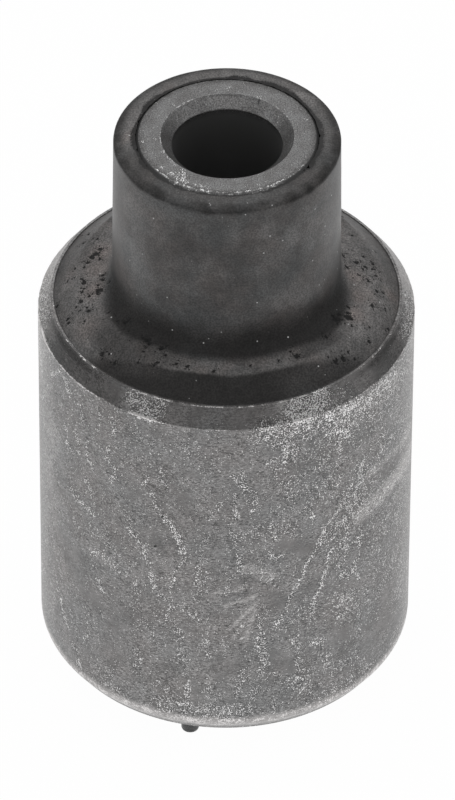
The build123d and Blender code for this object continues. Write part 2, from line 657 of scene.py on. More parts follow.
# %% Knocks of the long rub
# A dense field where the rub starts, and the rub itself, which runs down to the left
rub_knocks = [
    (0.59, 3, (47.5, 45.4), (41, 41.8), (45, 38.5), (40, 37.6)), (0.46, 2.3, (52, 47.5), (57, 48)),
    (0.76, 0.73, (41, 41.8), (35, 39.5), (27.6, 34.4)),
    (0.85, 0.55, (27.6, 34.4), (24.6, 31.6), (21.3, 29.2), (19, 26.2), (16, 23.6)),
    (0.56, 0.95, (39.6, 39), (34, 38), (31, 36)),
]
# Two level bands that run off to the right of it
band_knocks = [
    (0.51, 0.66, (49, 43.9), (62, 43.4), (78, 41.8)),
    (0.46, 1.7, (47, 36.8), (58, 37.6), (70, 36.6)), (0.4, 1.4, (66, 48), (78, 44)),
    (0.33, 2.3, (56, 50.4), (68, 53)), (0.33, 1.6, (50, 34), (51, 28)),
]
print(len(rub_knocks) + len(band_knocks), "knocks of the rub and its bands")

# %% Knocks of the lower right quarter
lower_right_knocks = [
    (0.8, 0.84, (46.6, 34.9), (46, 31.9)), (0.46, 1.8, (38.6, 35.5), (38, 31)),
    (0.59, 1.6, (37.6, 29.4), (40.4, 28.2)), (0.77, 0.66, (45.6, 30), (43, 28), (45.4, 25.9)),
    (0.85, 0.66, (34.2, 34), (31, 29.4), (27.8, 25.8), (28, 22.8)),
    (0.88, 1.16, (38.6, 23.8), (41.4, 23.4)), (0.8, 0.73, (37, 21.4), (39.4, 21.5)),
    (0.33, 2.5, (52, 31), (57, 27), (62, 22)), (0.4, 1.4, (58, 31), (64, 30)),
    (0.48, 0.95, (44.6, 21.6), (46.6, 16.6)), (0.36, 1.8, (42.6, 13), (47.4, 11.4)),
    (0.8, 0.95, (27, 18.6), (31.4, 18.3)), (0.56, 1.16, (22.6, 20.6), (24.4, 13)),
    (0.59, 2, (22, 12), (26.5, 10.4)), (0.51, 0.66, (17.4, 12.6), (21, 13.4)),
    (0.72, 1.05, (11, 22.4), (12.4, 16)), (0.48, 1.05, (11, 15.4), (8.2, 9)),
    (0.59, 0.55, (15.6, 9.6), (15.3, 7.6)), (0.4, 1.8, (31, 8.6), (40, 8.2)),
]
print(len(lower_right_knocks), "knocks at the lower right")

# %% Knocks of the middle
# A thread of crumbs straight down, then fans and patches beside it
middle_knocks = [
    (0.85, 0.55, (1.8, 50.8), (3.4, 50), (4.6, 48.8)), (0.77, 0.5, (2.4, 47.6), (3.1, 43)),
    (0.68, 0.5, (1.2, 41.8), (3.4, 38.6), (4.5, 34)), (0.46, 1.6, (6, 40), (12, 41), (16, 38.6)),
    (0.77, 0.66, (13, 36.6), (17, 35.9)), (0.59, 0.55, (13.6, 42.3), (16.6, 40.4)),
    (0.4, 0.95, (12, 33), (16, 30.6)),
]
print(len(middle_knocks), "knocks in the middle")

# %% Knocks of the left half
left_knocks = [
    (0.85, 0.55, (-36.4, 56.4), (-35.4, 54.6), (-35.8, 52.8)), (0.48, 0.84, (-27, 56), (-26, 54.2)),
    (0.85, 0.55, (-61.6, 57.8), (-67, 54.8)), (0.56, 1.05, (-57.4, 57.2), (-55, 55)),
    (0.4, 1.5, (-53.6, 56), (-48.6, 53)), (0.85, 0.55, (-47.4, 50), (-47.6, 48), (-46.4, 46.2)),
    (0.77, 0.55, (-44.8, 46.4), (-43.8, 45.4)),
    (0.77, 0.55, (-58.6, 49.4), (-56.6, 46.6), (-54.2, 45.6)),
    (0.77, 0.5, (-38, 51), (-39, 48.7), (-34.8, 48)), (0.77, 0.5, (-35, 47.7), (-37.6, 45.4)),
    (0.59, 0.66, (-19.6, 50.8), (-18.8, 49), (-17.6, 48)), (0.34, 0.5, (-38, 51.3), (-24, 51.2)),
    (0.59, 0.55, (-8.6, 56.2), (-7, 55)), (0.59, 0.5, (-3.4, 52.6), (-2.2, 51.8)),
    (0.77, 0.66, (-23.4, 46), (-20.8, 43.8), (-17.6, 42)),
    (0.9, 0.73, (-17.6, 42), (-14.8, 39.8), (-12.8, 36.4)),
    (0.68, 0.5, (-13.2, 35.4), (-15.4, 32), (-17, 29.6), (-17.6, 26), (-18.7, 23)),
    (0.85, 0.66, (-30.6, 38.4), (-28.4, 37.2), (-26.2, 35.8)),
    (0.59, 0.5, (-25.4, 35), (-23.4, 31.4), (-21.4, 29), (-18.4, 27.6)),
    (0.42, 0.5, (-24, 31.6), (-16, 31.6)), (0.72, 0.84, (-47.6, 42.6), (-45, 41.2)),
    (0.64, 0.84, (-55.6, 38.8), (-51, 38), (-45, 37.8)), (0.51, 0.66, (-54.4, 33.6), (-48, 33)),
    (0.53, 1.4, (-45, 30.6), (-41, 31.2), (-35, 30.2)), (0.9, 0.73, (-42.6, 26.4), (-41, 24.9)),
    (0.85, 0.55, (-42.6, 21.3), (-41.4, 20.4)), (0.68, 0.5, (-37.8, 18.6), (-37.4, 17.8)),
    (0.77, 0.66, (-15, 27), (-11, 26), (-8, 25.4)), (0.64, 0.84, (-14, 22.6), (-12.6, 20)),
    (0.68, 0.5, (-6, 21.6), (-5, 18.4)), (0.48, 0.95, (-6, 32.6), (-8.6, 29)),
    (0.26, 1.6, (-30, 23.6), (-24, 21)), (0.8, 0.73, (-64.4, 19.6), (-61.8, 15.8)),
    (0.72, 0.73, (-61.6, 15.4), (-57, 13.4)), (0.64, 0.95, (-54.6, 11), (-51, 8)),
    (0.59, 0.5, (-47.6, 17.6), (-47.4, 13.8)), (0.77, 0.55, (-11.4, 14.4), (-11.8, 10.6)),
    (0.64, 0.73, (-6.6, 12), (-2.6, 13.6)), (0.59, 2.3, (-20, 8.4), (-10, 8.8), (0, 8.4), (6, 8.6)),
    (0.33, 1.6, (-21, 12.4), (-15, 11)), (0.59, 0.55, (-75, 44.2), (-69, 43.4)),
    (0.32, 0.95, (-66, 40), (-63, 38)), (0.4, 0.84, (-40, 8.6), (-30, 8.2)),
]
print(len(left_knocks), "knocks on the left")

# %% Knocks on the upper cone
# Two frosted stretches, and the rubbed ends of the ring
cone_knocks = [
    (0.8, 1.9, (-30, 60.6), (-27, 59.4), (-22, 59.6), (-22, 60.6)),
    (1.1, 2.1, (21, 59.3), (25, 60.4), (29, 59.4), (32, 60.4)), (0.6, 1.6, (74, 59.4), (92, 60)),
    (0.55, 1.6, (-80, 60), (-100, 59.6)), (0.3, 1.2, (33, 59.6), (42, 60)),
]
print(len(cone_knocks), "stretches of knocks on the cone")

# %% Threads and flecks, thinly spread
stray_knocks = [
    (0.5, 1.6, (10, 57.6), (17, 55.2)), (0.45, 1.5, (29, 54), (31, 51)),
    (0.5, 1.4, (40, 53), (45, 50)), (0.45, 1.4, (52, 54.6), (62, 54.4)),
    (0.5, 1.0, (14, 53), (15, 50)), (0.5, 1.2, (17, 49), (21, 46.4)),
    (0.45, 1.0, (32, 50), (34, 46)), (0.5, 1.3, (37, 46), (33, 43)),
    (0.5, 1.0, (8, 47.6), (9.6, 44.6)), (0.5, 0.9, (5, 51), (7, 47)),
    (0.5, 1.6, (36, 36.6), (41, 33)), (0.45, 1.2, (22, 38.6), (19, 41)),
    (0.5, 1.4, (56, 46), (64, 46.4)), (0.45, 1.2, (60, 35), (72, 34.4)),
    (0.4, 1.4, (56, 20), (64, 24)), (0.5, 0.7, (-2, 46), (-4, 43)),
    (0.45, 0.8, (-6, 40), (-7.6, 36)), (0.5, 0.7, (-7.6, 35), (-9.4, 31)),
    (0.45, 0.7, (-29, 33.4), (-31, 30)), (0.5, 0.7, (-28, 29.4), (-27, 26)),
    (0.45, 0.8, (-37, 34), (-34, 33)), (0.5, 0.8, (-12, 56.6), (-11, 54)),
    (0.45, 0.9, (-41, 56), (-43, 53)), (0.5, 0.7, (-52, 50), (-51, 47)),
    (0.5, 0.8, (-24, 49), (-25, 46.6)), (0.45, 1.2, (-14, 19), (-12, 15)),
    (0.5, 0.8, (-28, 17), (-29, 13)), (0.45, 0.9, (-36, 14), (-38, 10)),
    (0.5, 0.7, (2, 33), (0, 30)), (0.5, 1.0, (6, 16), (4, 12)), (0.45, 1.2, (33, 15), (36, 11)),
    (0.5, 1.0, (26, 15), (28, 12.6)), (0.45, 1.0, (48, 24), (50, 20)),
    (0.45, 1.0, (-46, 35.4), (-43, 34.4)), (0.4, 1.0, (-68, 30), (-66, 26)),
    (0.45, 0.8, (-70, 18), (-67, 14)), (0.5, 0.9, (-49, 26), (-47, 23)),
    (0.45, 0.8, (-32, 41), (-30, 40)), (0.4, 0.9, (-63, 24), (-61, 20)),
    (0.5, 0.8, (12, 26), (10.6, 23)),
]
front_knocks = belt_knocks + rub_knocks + band_knocks + lower_right_knocks
front_knocks += middle_knocks + left_knocks + cone_knocks + stray_knocks
print(len(stray_knocks), "threads and flecks")

# %% Knocks round the back
chance = random.Random(11)
back_knocks = []
for _ in range(120):
    start = chance.uniform(78, 282)
    low = chance.uniform(8, 57)
    lean = chance.choice((0, 2, -2, 8, -8, 14))
    strength = chance.uniform(0.4, 0.8)
    width = chance.choice((0.5, 0.7, 1.0, 1.8))
    top = low + chance.uniform(1, 7)
    back_knocks.append((strength, width, (start, low), (start + lean, top)))
print(len(front_knocks), "knocks in front,", len(back_knocks), "round the back")

# %% Smears and calm places
smears = [
    (0.8, 2.2, (46, 37.4), (60, 38), (80, 37)), (0.5, 1.0, (50, 43.8), (64, 43), (80, 41.6)),
    (0.5, 1.2, (7, 34.4), (14, 32.6)), (0.4, 1.2, (-45, 30.8), (-35, 30.4)),
    (0.7, 0.4, (-0.5, 27.6), (9, 29.3)), (0.7, 0.4, (1.4, 23.6), (9.6, 28.4)),
    (0.65, 0.4, (6, 20.4), (8.6, 25.6)), (0.6, 0.4, (3, 22), (9, 26.6)),
    (0.4, 0.5, (-3, 30), (5, 31)), (0.9, 3.2, (-84, 58.4), (-104, 56)),
    (0.35, 3.0, (-80, 54), (-100, 44)), (0.4, 2.0, (80, 57), (100, 58)),
    (0.4, 1.0, (-77, 44), (-66, 43.4)), (0.3, 3, (40, 57), (62, 56)),
    (0.25, 3, (-72, 36), (-66, 46)),
]
calm = [
    (0.6, 2.0, (12.6, 29), (19, 27)), (0.6, 1.6, (18, 38), (25, 36)),
    (0.5, 3.0, (54, 16), (70, 12)), (0.4, 3.0, (50, 12), (62, 18)),
    (0.6, 1.8, (58, 41.4), (66, 41)), (0.6, 2.0, (38, 18), (40, 15)),
    (0.5, 2.6, (-56, 26), (-44, 22)), (0.5, 2.0, (-60, 29), (-50, 28)),
    (0.4, 3.0, (-38, 14), (-34, 22)), (0.6, 0.8, (-13, 51.3), (-8.6, 50.4)),
    (0.5, 1.0, (-12.6, 47), (-11.4, 45.6)), (0.4, 1.4, (-31, 44), (-27, 45)),
    (0.5, 1.4, (-24, 39), (-19, 36)), (0.4, 1.4, (-2, 14), (4, 18)),
    (0.5, 1.0, (-9, 12.6), (-8, 10)), (0.4, 1.6, (22, 50), (30, 52)),
    (0.6, 1.6, (16, 18), (20, 15)), (0.4, 2.0, (42, 50.5), (46, 51)),
]
for _ in range(24):
    start = chance.uniform(90, 270)
    low = chance.uniform(10, 55)
    marks = chance.choice((smears, calm))
    width = chance.uniform(1, 3)
    end = start + chance.uniform(-8, 8)
    top = low + chance.uniform(0, 6)
    marks.append((0.5, width, (start, low), (end, top)))
print(len(smears), "smears and", len(calm), "calm places")

# %% Pinholes
pinhole_width = 0.34
pinholes = [
    (-64, 43.5), (-61.6, 32.9), (-15.8, 53), (-19.6, 42.5), (-21.6, 36.7), (-58.3, 37.9), (-66, 21),
    (118, 40), (160, 22), (-140, 31), (-110, 14),
]
holes = strokes(angle, height, outer_radius, [(1.0, pinhole_width, place) for place in pinholes])
paint(sleeve_mesh, "holes", holes)

# %% [markdown]
# ## Paint for the outer sleeve
#
# The marks are laid on through noise, so that no line is straight and no border is clean. Four
# numbers come out: `scuff` says how many bright crumbs there are, `smear_and_painted_light` how pale or dark
# the film is, with painted light and shade in it, `quiet` where its grain lies still, and `edge` how
# close a worn edge is, with a painted reflection of the floor on the lower cone.

# %% Frayed marks
wander = bumps(angle, radius, height, size=2.5 * mm, seed=3)
scatter = bumps(angle, radius, height, size=1.0 * mm, seed=4)
clouds = bumps(angle, radius, height, size=6 * mm, seed=5)
gravel = bumps(angle, radius, height, size=0.6 * mm, seed=19)
loose_angle = angle + wander * 1.4 + gravel * 0.9
loose_height = height + (scatter + gravel) * 0.25 * mm
knocked = strokes(loose_angle, loose_height, outer_radius, front_knocks + back_knocks)
polished = strokes(loose_angle, loose_height, outer_radius, smears)
quiet = strokes(loose_angle, loose_height, outer_radius, calm)
print("knocked share of the sleeve", round(float((knocked > 0.3).mean()), 3))

# %% Parts of the sleeve
off_front = np.abs(angle)
at_side = between(off_front, (60, 80), (100, 130))
right_and_back = between(angle, (0, 22), (66, 80)) + (off_front > 100)
on_cone = smooth(height, cone_edge - 0.1 * mm, cone_edge + 0.2 * mm) * sleeve_outside
on_rim = smooth(height, sleeve_top - 0.12 * mm, sleeve_top - 0.04 * mm)
under_rim = between(height, (sleeve_top - 1.0 * mm, sleeve_top - 0.6 * mm),
                    (sleeve_top - 0.35 * mm, sleeve_top - 0.15 * mm))
lower_cone_top = (lower_edge + 0.45 * mm, lower_edge + 1.5 * mm)
on_lower_cone = 1 - smooth(height + 0.12 * mm * wander, *lower_cone_top)
lowest = 1 - smooth(height, sleeve_bottom + 0.6 * mm, sleeve_bottom + 1.6 * mm)
frosted_cone = np.maximum(near(angle, -26, 5, 10), near(angle, 26, 6, 14))
print("upper cone has", int((on_cone > 0.5).sum()), "vertices")

# %% Scuffs
# A haze of stray crumbs lies everywhere, more of it at the sides and on the right
haze = 0.03 + 0.16 * at_side + (0.1 + 0.2 * right_and_back) * smooth(clouds + 0.6 * wander, -0.35, 0.5)
haze *= 1 - 0.8 * on_cone
uneven = 0.86 + 0.3 * scatter + 0.5 * gravel
scuff = np.maximum(knocked * uneven, haze) - 0.4 * quiet
scuff -= 0.3 * on_cone * (1 - smooth(knocked, 0, 0.3))
paint(sleeve_mesh, "scuff", np.where(sleeve_outside, np.clip(scuff, -0.5, 1), 0))

# %% Worn edges of the sleeve, with a painted reflection on the lower cone
hard_knocks = stretches(angle, 0.5, [(-26, 7), (23.5, 5.5), (-80, 14), (128, 20), (-150, 25)])
over_edge = height - cone_edge + 0.12 * mm * gravel
hit_flat = hard_knocks * between(over_edge, (-0.04 * mm, 0.06 * mm), (0.16 * mm, 0.36 * mm))
rubbed = np.maximum(near(angle, -57, 14, 24), 0.4 * near(angle, 60, 8, 18))
cone_edge_line = near(height, cone_edge - 0.05 * mm, 0.02 * mm, 0.3 * mm)
rim_broken = smooth(bumps(angle, radius, height, size=1.1 * mm, seed=6), -0.5, 0.5)
# The rim line is brightest where it carries a painted highlight, in front and at about 60 degrees to each
# side.
rim_highlight = stretches(angle, 0.5, [(0, 18), (-24, 9), (20, 8), (-60, 16, 0.65), (60, 16, 0.34)])
# On the lower cone the bright band is a painted reflection of the floor, and on the rim it follows the
# painted highlight; the rest is wear.
edge = largest(
    cone_edge_line * (0.3 + 0.3 * hard_knocks + 0.25 * scatter + 0.26 * rubbed),
    hit_flat * (0.6 + 0.8 * gravel),
    on_rim * (0.14 + rim_broken * (0.12 + 0.5 * rim_highlight)),
    on_lower_cone * (0.42 + 0.3 * scatter) * (1 - 0.8 * lowest),
)
paint(sleeve_mesh, "edge", np.where(sleeve_outside, np.clip(edge, 0, 1), 0))

# %% Paler and darker film, with painted light and shade
upper_left = at_side * (angle < 0) * smooth(height, 46 * mm, 58 * mm)
dark_left = smooth(-angle, 31, 43)
dark_right = smooth(angle, 46, 58)
beside_front = np.where(angle < 0, dark_left, dark_right) * (1 - smooth(off_front, 66, 78))
cone_sides = smooth(off_front, 72, 92)
frosted_paler = (0.42 + 0.16 * (angle > 0)) * frosted_cone
# Besides polish and calm places, the smear holds painted light and shade: lighter at the sides and the upper
# left as painted sheen, and on the lower cone as a painted reflection of the floor; on the upper cone lighter
# at the sides and darker beside the front; darker under the rim, on the rim away from its painted highlight,
# and at the foot in front as painted shade.
smear_and_painted_light = polished - 0.35 * quiet + 0.3 * at_side + 1.05 * on_lower_cone + 0.35 * upper_left
smear_and_painted_light += on_cone * (0.32 * cone_sides - 0.6 * beside_front + frosted_paler)
smear_and_painted_light -= 0.6 * under_rim * between(off_front, (40, 55), (82, 92)) * sleeve_outside
smear_and_painted_light -= (1 - rim_highlight) * (0.5 + 0.5 * at_side) * on_rim
smear_and_painted_light -= 0.8 * lowest * (1 - smooth(off_front, 52, 68)) * sleeve_outside
smear_and_painted_light *= 1 + 0.3 * scatter + 0.2 * gravel
paint(sleeve_mesh, "smear_and_painted_light", np.clip(smear_and_painted_light, -1, 1))

# %% Quiet grain
quiet_cone = on_cone * (0.8 - 0.8 * frosted_cone - 0.5 * at_side)
quiet_grain = largest(quiet * 1.6, on_lower_cone * 1.2, quiet_cone)
paint(sleeve_mesh, "quiet", np.clip(quiet_grain, 0, 1))
sleeve = make_piece("outer_sleeve_steel", sleeve_mesh, "outer_steel", "outer_sleeve")

# %% [markdown]
# ## The inner sleeve
#
# The tube that the bolt passes through is faced square at both ends, because the joint clamps on
# those two rings, and countersunk to guide the bolt. Its wall is hidden by the rubber, so only
# the end faces, the countersinks and the bore need fine divisions. Facing has left a step three
# hundredths of a millimetre deep round the outside of the upper ring.

# %% Inner sleeve mesh
in_the_bore = 1.0 * mm
break_radius = inner_radius - tube_edge_break
step_radius = break_radius - 0.75 * mm
tube_outline = rounded([
    (bore_radius, countersink_leg, 0.12 * mm, fine),
    (bore_radius + countersink_leg, 0, 0.07 * mm, fine),
    (break_radius, 0, 0.06 * mm, finest),
    (inner_radius, tube_edge_break, 0.06 * mm, hidden),
    (inner_radius, inner_top - tube_edge_break - 0.05 * mm, 0.06 * mm, finest),
    (break_radius - 0.08 * mm, inner_top - 0.04 * mm, 0.06 * mm, finest),
    (step_radius, inner_top - 0.03 * mm, 0.02 * mm, 0.05 * mm),
    (step_radius - 0.05 * mm, inner_top, 0.02 * mm, fine),
    (bore_radius + countersink_leg, inner_top, 0.07 * mm, fine),
    (bore_radius, inner_top - countersink_leg, 0.12 * mm, in_the_bore),
])
tube_mesh = turned_mesh("inner_sleeve_steel", tube_outline, steel_segments)
print("outline of", len(tube_outline), "points")

# %% Nicks round the ring
angle, radius, height = round_places(tube_mesh)
off_front = np.abs(angle)
frontness = np.cos(np.radians(angle))
facing_front = smooth(frontness, 0.1, 0.8)
from_end = np.minimum(height, inner_top - height)
at_end = from_end < 0.3 * mm
on_face = 1 - smooth(from_end, 0.05 * mm, 0.1 * mm)
near_outer_edge = smooth(radius, break_radius - 0.35 * mm, break_radius - 0.1 * mm) * on_face
chips = bumps(angle, radius, height, size=0.45 * mm, seed=7)
nicked = np.maximum(chips, 0) * near_outer_edge * (0.25 + 0.6 * facing_front) * mm
put_back(tube_mesh, angle, radius - nicked, height)
print("deepest nick", round(float(nicked.max() / mm), 2), "mm")

# %% Knocks on the faces
# Strength, width, and a place or a line of places: angle, and millimetres from the axis
face_marks = [
    (0.8, 1.1, (-37, 9.6), (-33, 10.5)), (0.65, 0.9, (-44, 10.6), (-29, 10.8)),
    (0.5, 0.9, (-38, 9.2), (-36, 9.6)), (1.0, 0.4, (-68, 8.9)), (0.9, 0.35, (-85, 9.5)),
    (0.5, 0.5, (-48, 9.0)), (1.0, 0.35, (-83, 11.1)), (1.0, 0.3, (-72, 11.1)),
    (1.0, 0.35, (-52, 10.7)), (0.9, 0.55, (152, 9.0)), (0.5, 0.6, (108, 10.8)),
    (0.5, 0.5, (-60, 8.9), (-40, 8.95)), (0.45, 0.5, (-24, 10.8), (-12, 10.9)),
    (0.5, 0.3, (16, 10.8)), (0.5, 0.3, (24, 10.7)), (0.35, 0.8, (-132, 9.4)),
    (0.4, 0.5, (-126, 11.4)), (0.4, 0.8, (179, 9.8)),
]
rim_nicks = (-50, -37, -34, -29, -25, -15, -12, 6, 14, 17, 20, 27, 30, 38, 45)
face_marks += [(1.0, 0.28, (at, 11.58)) for at in rim_nicks]
face_marks += [(0.8, 0.25, (at, 10.8)) for at in (-19, -8, 13, 17, 22, 28)]
spots_in_a_line = 8
spot = np.zeros(len(angle))
for strength, width, *stops in face_marks:
    (from_angle, from_radius), (to_angle, to_radius) = stops[0], stops[-1]
    for share in np.linspace(0, 1, spots_in_a_line):
        at = from_angle + (to_angle - from_angle) * share
        from_axis = from_radius + (to_radius - from_radius) * share
        away = away_from(angle, radius, at, from_axis)
        spot = np.maximum(spot, strength * smooth(1 - away / (width * mm), 0, 1))
paint(tube_mesh, "scuff", np.where(from_end < 0.6 * mm, spot, 0))

# %% Worn edges of the tube
step_line = near(radius, step_radius, 0, 0.15 * mm)
countersink_line = near(radius, bore_radius + countersink_leg, 0, 0.2 * mm)
rubbed = bumps(angle, radius, height, size=1.6 * mm, seed=17)
edge = largest(
    near_outer_edge * facing_front * (0.5 + 0.7 * chips),
    step_line * on_face * facing_front * (0.1 + 0.4 * chips),
    facing_front * (0.25 + 0.6 * chips) * (radius > inner_radius - 0.5 * mm) * at_end,
    countersink_line * at_end * (0.42 - 0.36 * facing_front + 0.3 * rubbed),
)
paint(tube_mesh, "edge", np.clip(edge, 0, 1))

# %% Dull places, a crack, and painted light and shade of the tube
inside = smooth(from_end, countersink_leg, countersink_leg + 1 * mm)
paint(tube_mesh, "inside", inside * (radius < bore_radius + 0.3 * mm))
# The tube's edge break and wall in the gap under the rubber are painted dark as shade, less so in front; a
# crack on the face at the back is painted with it.
unshaded_front = 0.7 * smooth(frontness, 0.72, 0.9) * (from_end < 0.36 * mm)
gap_shade_and_crack = smooth(from_end, 0.06 * mm, 0.12 * mm) * (radius > inner_radius - 0.5 * mm) * (1 - unshaded_front)
crack_angle = 151 + 2.0 * (radius / mm - 8.5)
crack = near(angle, crack_angle, 0.4, 1.4) * (from_end < 1 * mm)
crack *= between(radius, (8.0 * mm, 8.3 * mm), (8.8 * mm, 9.0 * mm))
paint(tube_mesh, "gap_shade_and_crack", np.maximum(gap_shade_and_crack, 0.8 * crack))
lead_in = between(from_end, (0.1 * mm, 0.3 * mm), (countersink_leg - 0.2 * mm, countersink_leg))
lead_in *= radius < bore_radius + countersink_leg
dulled_and_shaded = smooth(radius, inner_radius - 1.2 * mm, inner_radius - 0.5 * mm) * on_face * at_end
# The sides of the lead-in are darkened as painted shade.
dulled_and_shaded += 0.5 * lead_in * between(off_front, (86, 98), (118, 138))
paint(tube_mesh, "dulled_and_shaded", dulled_and_shaded)
# The lead-in is lighter at the back and at about 50 to 90 degrees from the front as painted light.
lead_in_light = smooth(off_front, 146, 180) + 0.3 * between(off_front, (50, 62), (78, 90))
paint(tube_mesh, "lead_in_light", lead_in * lead_in_light)
tube = make_piece("inner_sleeve_steel", tube_mesh, "inner_steel", "inner_sleeve")

# %% [markdown]
# ## The rubber
#
# All the rubber is one moulding: the wall between the sleeves, the raised shoulder on the end
# of the outer sleeve, the long neck round the inner one, and the small nib left by the hole
# that the mould was filled through. It is one turned mesh, and the nib is joined to it with a
# Boolean so that they are one closed skin. At the mouth of the neck the rubber was torn away
# from the steel as the mould opened, which leaves a ragged lip and a dark gap.

# %% Rubber mesh
rubber_outline = rounded([
    (inner_radius, underside, 0.05 * mm, 4 * mm),
    (sleeve_bore_radius, underside, 0.05 * mm, hidden),
    (sleeve_bore_radius, sleeve_top - 0.1 * mm, 0.03 * mm, 0.22 * mm),
    (crest_radius, crest_height, crest_corner_radius, fine),
    (neck_root_radius, neck_root_height, neck_root_corner_radius, 0.45 * mm),
    *oval_corner(neck_top_radius, neck_top, neck_corner_across, neck_corner_down, 0.14 * mm),
    (inner_radius + 0.2 * mm, neck_top, 0.06 * mm, 0.12 * mm),
    (inner_radius + 0.12 * mm, neck_top - 0.45 * mm, 0.04 * mm, 0.12 * mm),
    (inner_radius, neck_top - 0.55 * mm, 0.04 * mm, hidden),
])
turned_rubber = turned_mesh("turned_rubber", rubber_outline, rubber_segments)
print("outline of", len(rubber_outline), "points")

# %% Nib
# Rings of points from the trimmed end up into the rubber, with the lower edge rounded
nib_sides = 48
nib_rings = [
    (nib_radius - 0.25 * mm, nib_bottom),
    (nib_radius - 0.07 * mm, nib_bottom + 0.07 * mm),
    (nib_radius, nib_bottom + 0.25 * mm),
    (nib_radius, underside + 0.8 * mm),
]
nib_x = math.cos(nib_bearing) * nib_place
nib_y = math.sin(nib_bearing) * nib_place
points = []
for ring_radius, ring_height in nib_rings:
    for side in range(nib_sides):
        turn = side * math.tau / nib_sides
        x = nib_x + math.cos(turn) * ring_radius
        y = nib_y + math.sin(turn) * ring_radius
        points.append((x, y, ring_height))
faces = []
for ring in range(len(nib_rings) - 1):
    for side in range(nib_sides):
        here = ring * nib_sides
        there = here + nib_sides
        after = (side + 1) % nib_sides
        faces.append([here + side, here + after, there + after, there + side])
faces.append(list(range(nib_sides - 1, -1, -1)))
faces.append(list(range(len(points) - nib_sides, len(points))))
nib_mesh = bpy.data.meshes.new("nib")
nib_mesh.from_pydata(points, [], faces)
print("nib of", len(faces), "faces")

# %% One skin
nib = bpy.data.objects.new("nib", nib_mesh)
body = bpy.data.objects.new("body", turned_rubber)
for part in (nib, body):
    bpy.context.collection.objects.link(part)
union = body.modifiers.new("union", "BOOLEAN")
union.operation = "UNION"
union.object = nib
bpy.context.view_layer.update()
evaluated = body.evaluated_get(bpy.context.evaluated_depsgraph_get())
rubber_mesh = bpy.data.meshes.new_from_object(evaluated)
rubber_mesh.name = "rubber_moulding"
print("union took the moulding from", len(turned_rubber.polygons), "to", len(rubber_mesh.polygons), "faces")
for part in (nib, body):
    bpy.data.objects.remove(part)

# %% Torn mouth
angle, radius, height = round_places(rubber_mesh)
off_front = np.abs(angle)
at_mouth = np.full(len(angle), inner_radius)
on_top = smooth(height, neck_top - 0.7 * mm, neck_top - 0.55 * mm) * (radius > inner_radius + 0.1 * mm)
lip = on_top * (1 - smooth(radius, inner_radius + 0.35 * mm, inner_radius + 1.4 * mm))
ragged = bumps(angle, at_mouth, 0 * height, size=0.9 * mm, seed=8)
ragged += 0.5 * bumps(angle, at_mouth, 0 * height, size=0.45 * mm, seed=9)
# Each tear: angle, half its width in degrees, and its depth in millimetres
tears = [
    (-105, 2.2, 0.22), (-92, 1.5, 0.1), (-77, 1.4, 0.14), (-60, 1.2, 0.1), (92, 2.4, 0.14),
    (84, 1.6, 0.12), (60, 2.2, 0.36), (56, 1.2, 0.2), (20, 1.0, 0.1), (-5, 1.0, 0.1),
    (-35, 1.0, 0.1), (150, 1.6, 0.1), (-140, 1.4, 0.1), (-170, 1.4, 0.1),
]
torn = np.zeros(len(angle))
for at, width, depth in tears:
    away = np.abs((angle - at + 180) % 360 - 180) / width
    torn = np.maximum(torn, depth * smooth(1 - away, 0, 1))
in_front = smooth(np.cos(np.radians(angle)), 0.2, 0.85)
opening = (0.12 + 0.08 * in_front) * ragged - 0.34 * in_front - 0.2 * (1 - in_front) + torn
radius = radius + lip * opening * mm
height = height - lip * np.maximum(0.5 * torn + 0.12 * ragged, 0) * 0.5 * mm
print("widest tear", round(float(torn.max()), 2), "mm")

# %% Places of the pits
# Each pit: angle, millimetres from the axis, and how far its rim is from its middle
shoulder_pits = [
    (-107, 17.5, 0.7), (-103.6, 17.9, 0.65), (-101.6, 18.3, 0.5), (-98.2, 18.6, 0.5),
    (-100, 17.1, 0.45), (-85.6, 18.9, 0.6), (-88.6, 19.1, 0.45), (-80.6, 19.3, 0.45),
    (-75.8, 19.8, 0.55), (-76.8, 18.6, 0.35), (-69, 19.4, 0.5), (-78.4, 17, 0.6),
    (-77.6, 17.4, 0.5), (-84.4, 16.4, 0.5), (-79.8, 15.6, 0.35), (-87.4, 16.3, 0.4),
    (-72.8, 21.8, 0.4), (-71, 22, 0.45), (-82, 22.6, 0.4), (-91, 21, 0.3), (-66, 20.4, 0.3),
    (-96, 20.2, 0.35), (-49.6, 21.4, 0.5), (-43, 21.4, 0.4), (-47, 21, 0.3), (-34.6, 20.3, 0.35),
    (-52.4, 16.6, 0.5), (-36.8, 17, 0.6), (-35.4, 17.3, 0.45), (-29.4, 17.3, 0.5),
    (-27.4, 19.4, 0.45), (-26, 18, 0.35), (-20, 18.8, 0.4), (-15.6, 18.9, 0.35), (-4.6, 19.1, 0.4),
    (10, 18.4, 0.25), (22, 18.4, 0.3), (30.4, 18.5, 0.5), (28.6, 17.6, 0.3), (46.6, 18, 0.45),
    (57.4, 17, 0.5), (58.4, 17.4, 0.45), (62.4, 18, 0.8), (62.6, 18.5, 0.5), (64.4, 17.6, 0.4),
    (98.6, 17.4, 0.6), (93.4, 16, 0.5), (101, 15.7, 0.5), (90.4, 17.4, 0.35), (96.6, 18.4, 0.4),
    (74.6, 19.9, 0.45), (83.4, 20, 0.45), (92, 19.8, 0.4), (95.8, 19.5, 0.4), (99, 19.6, 0.4),
    (87.6, 18.8, 0.35), (71, 22.6, 0.35), (60, 21.7, 0.4), (65, 20.8, 0.35), (46, 21.3, 0.6),
    (42.6, 21.1, 0.4), (50, 22, 0.3), (78, 21.4, 0.3), (103, 18.6, 0.4), (68, 17.2, 0.3),
]
for _ in range(45):
    shoulder_pits.append((chance.uniform(112, 248), chance.uniform(16, 22.5), chance.uniform(0.2, 0.4)))
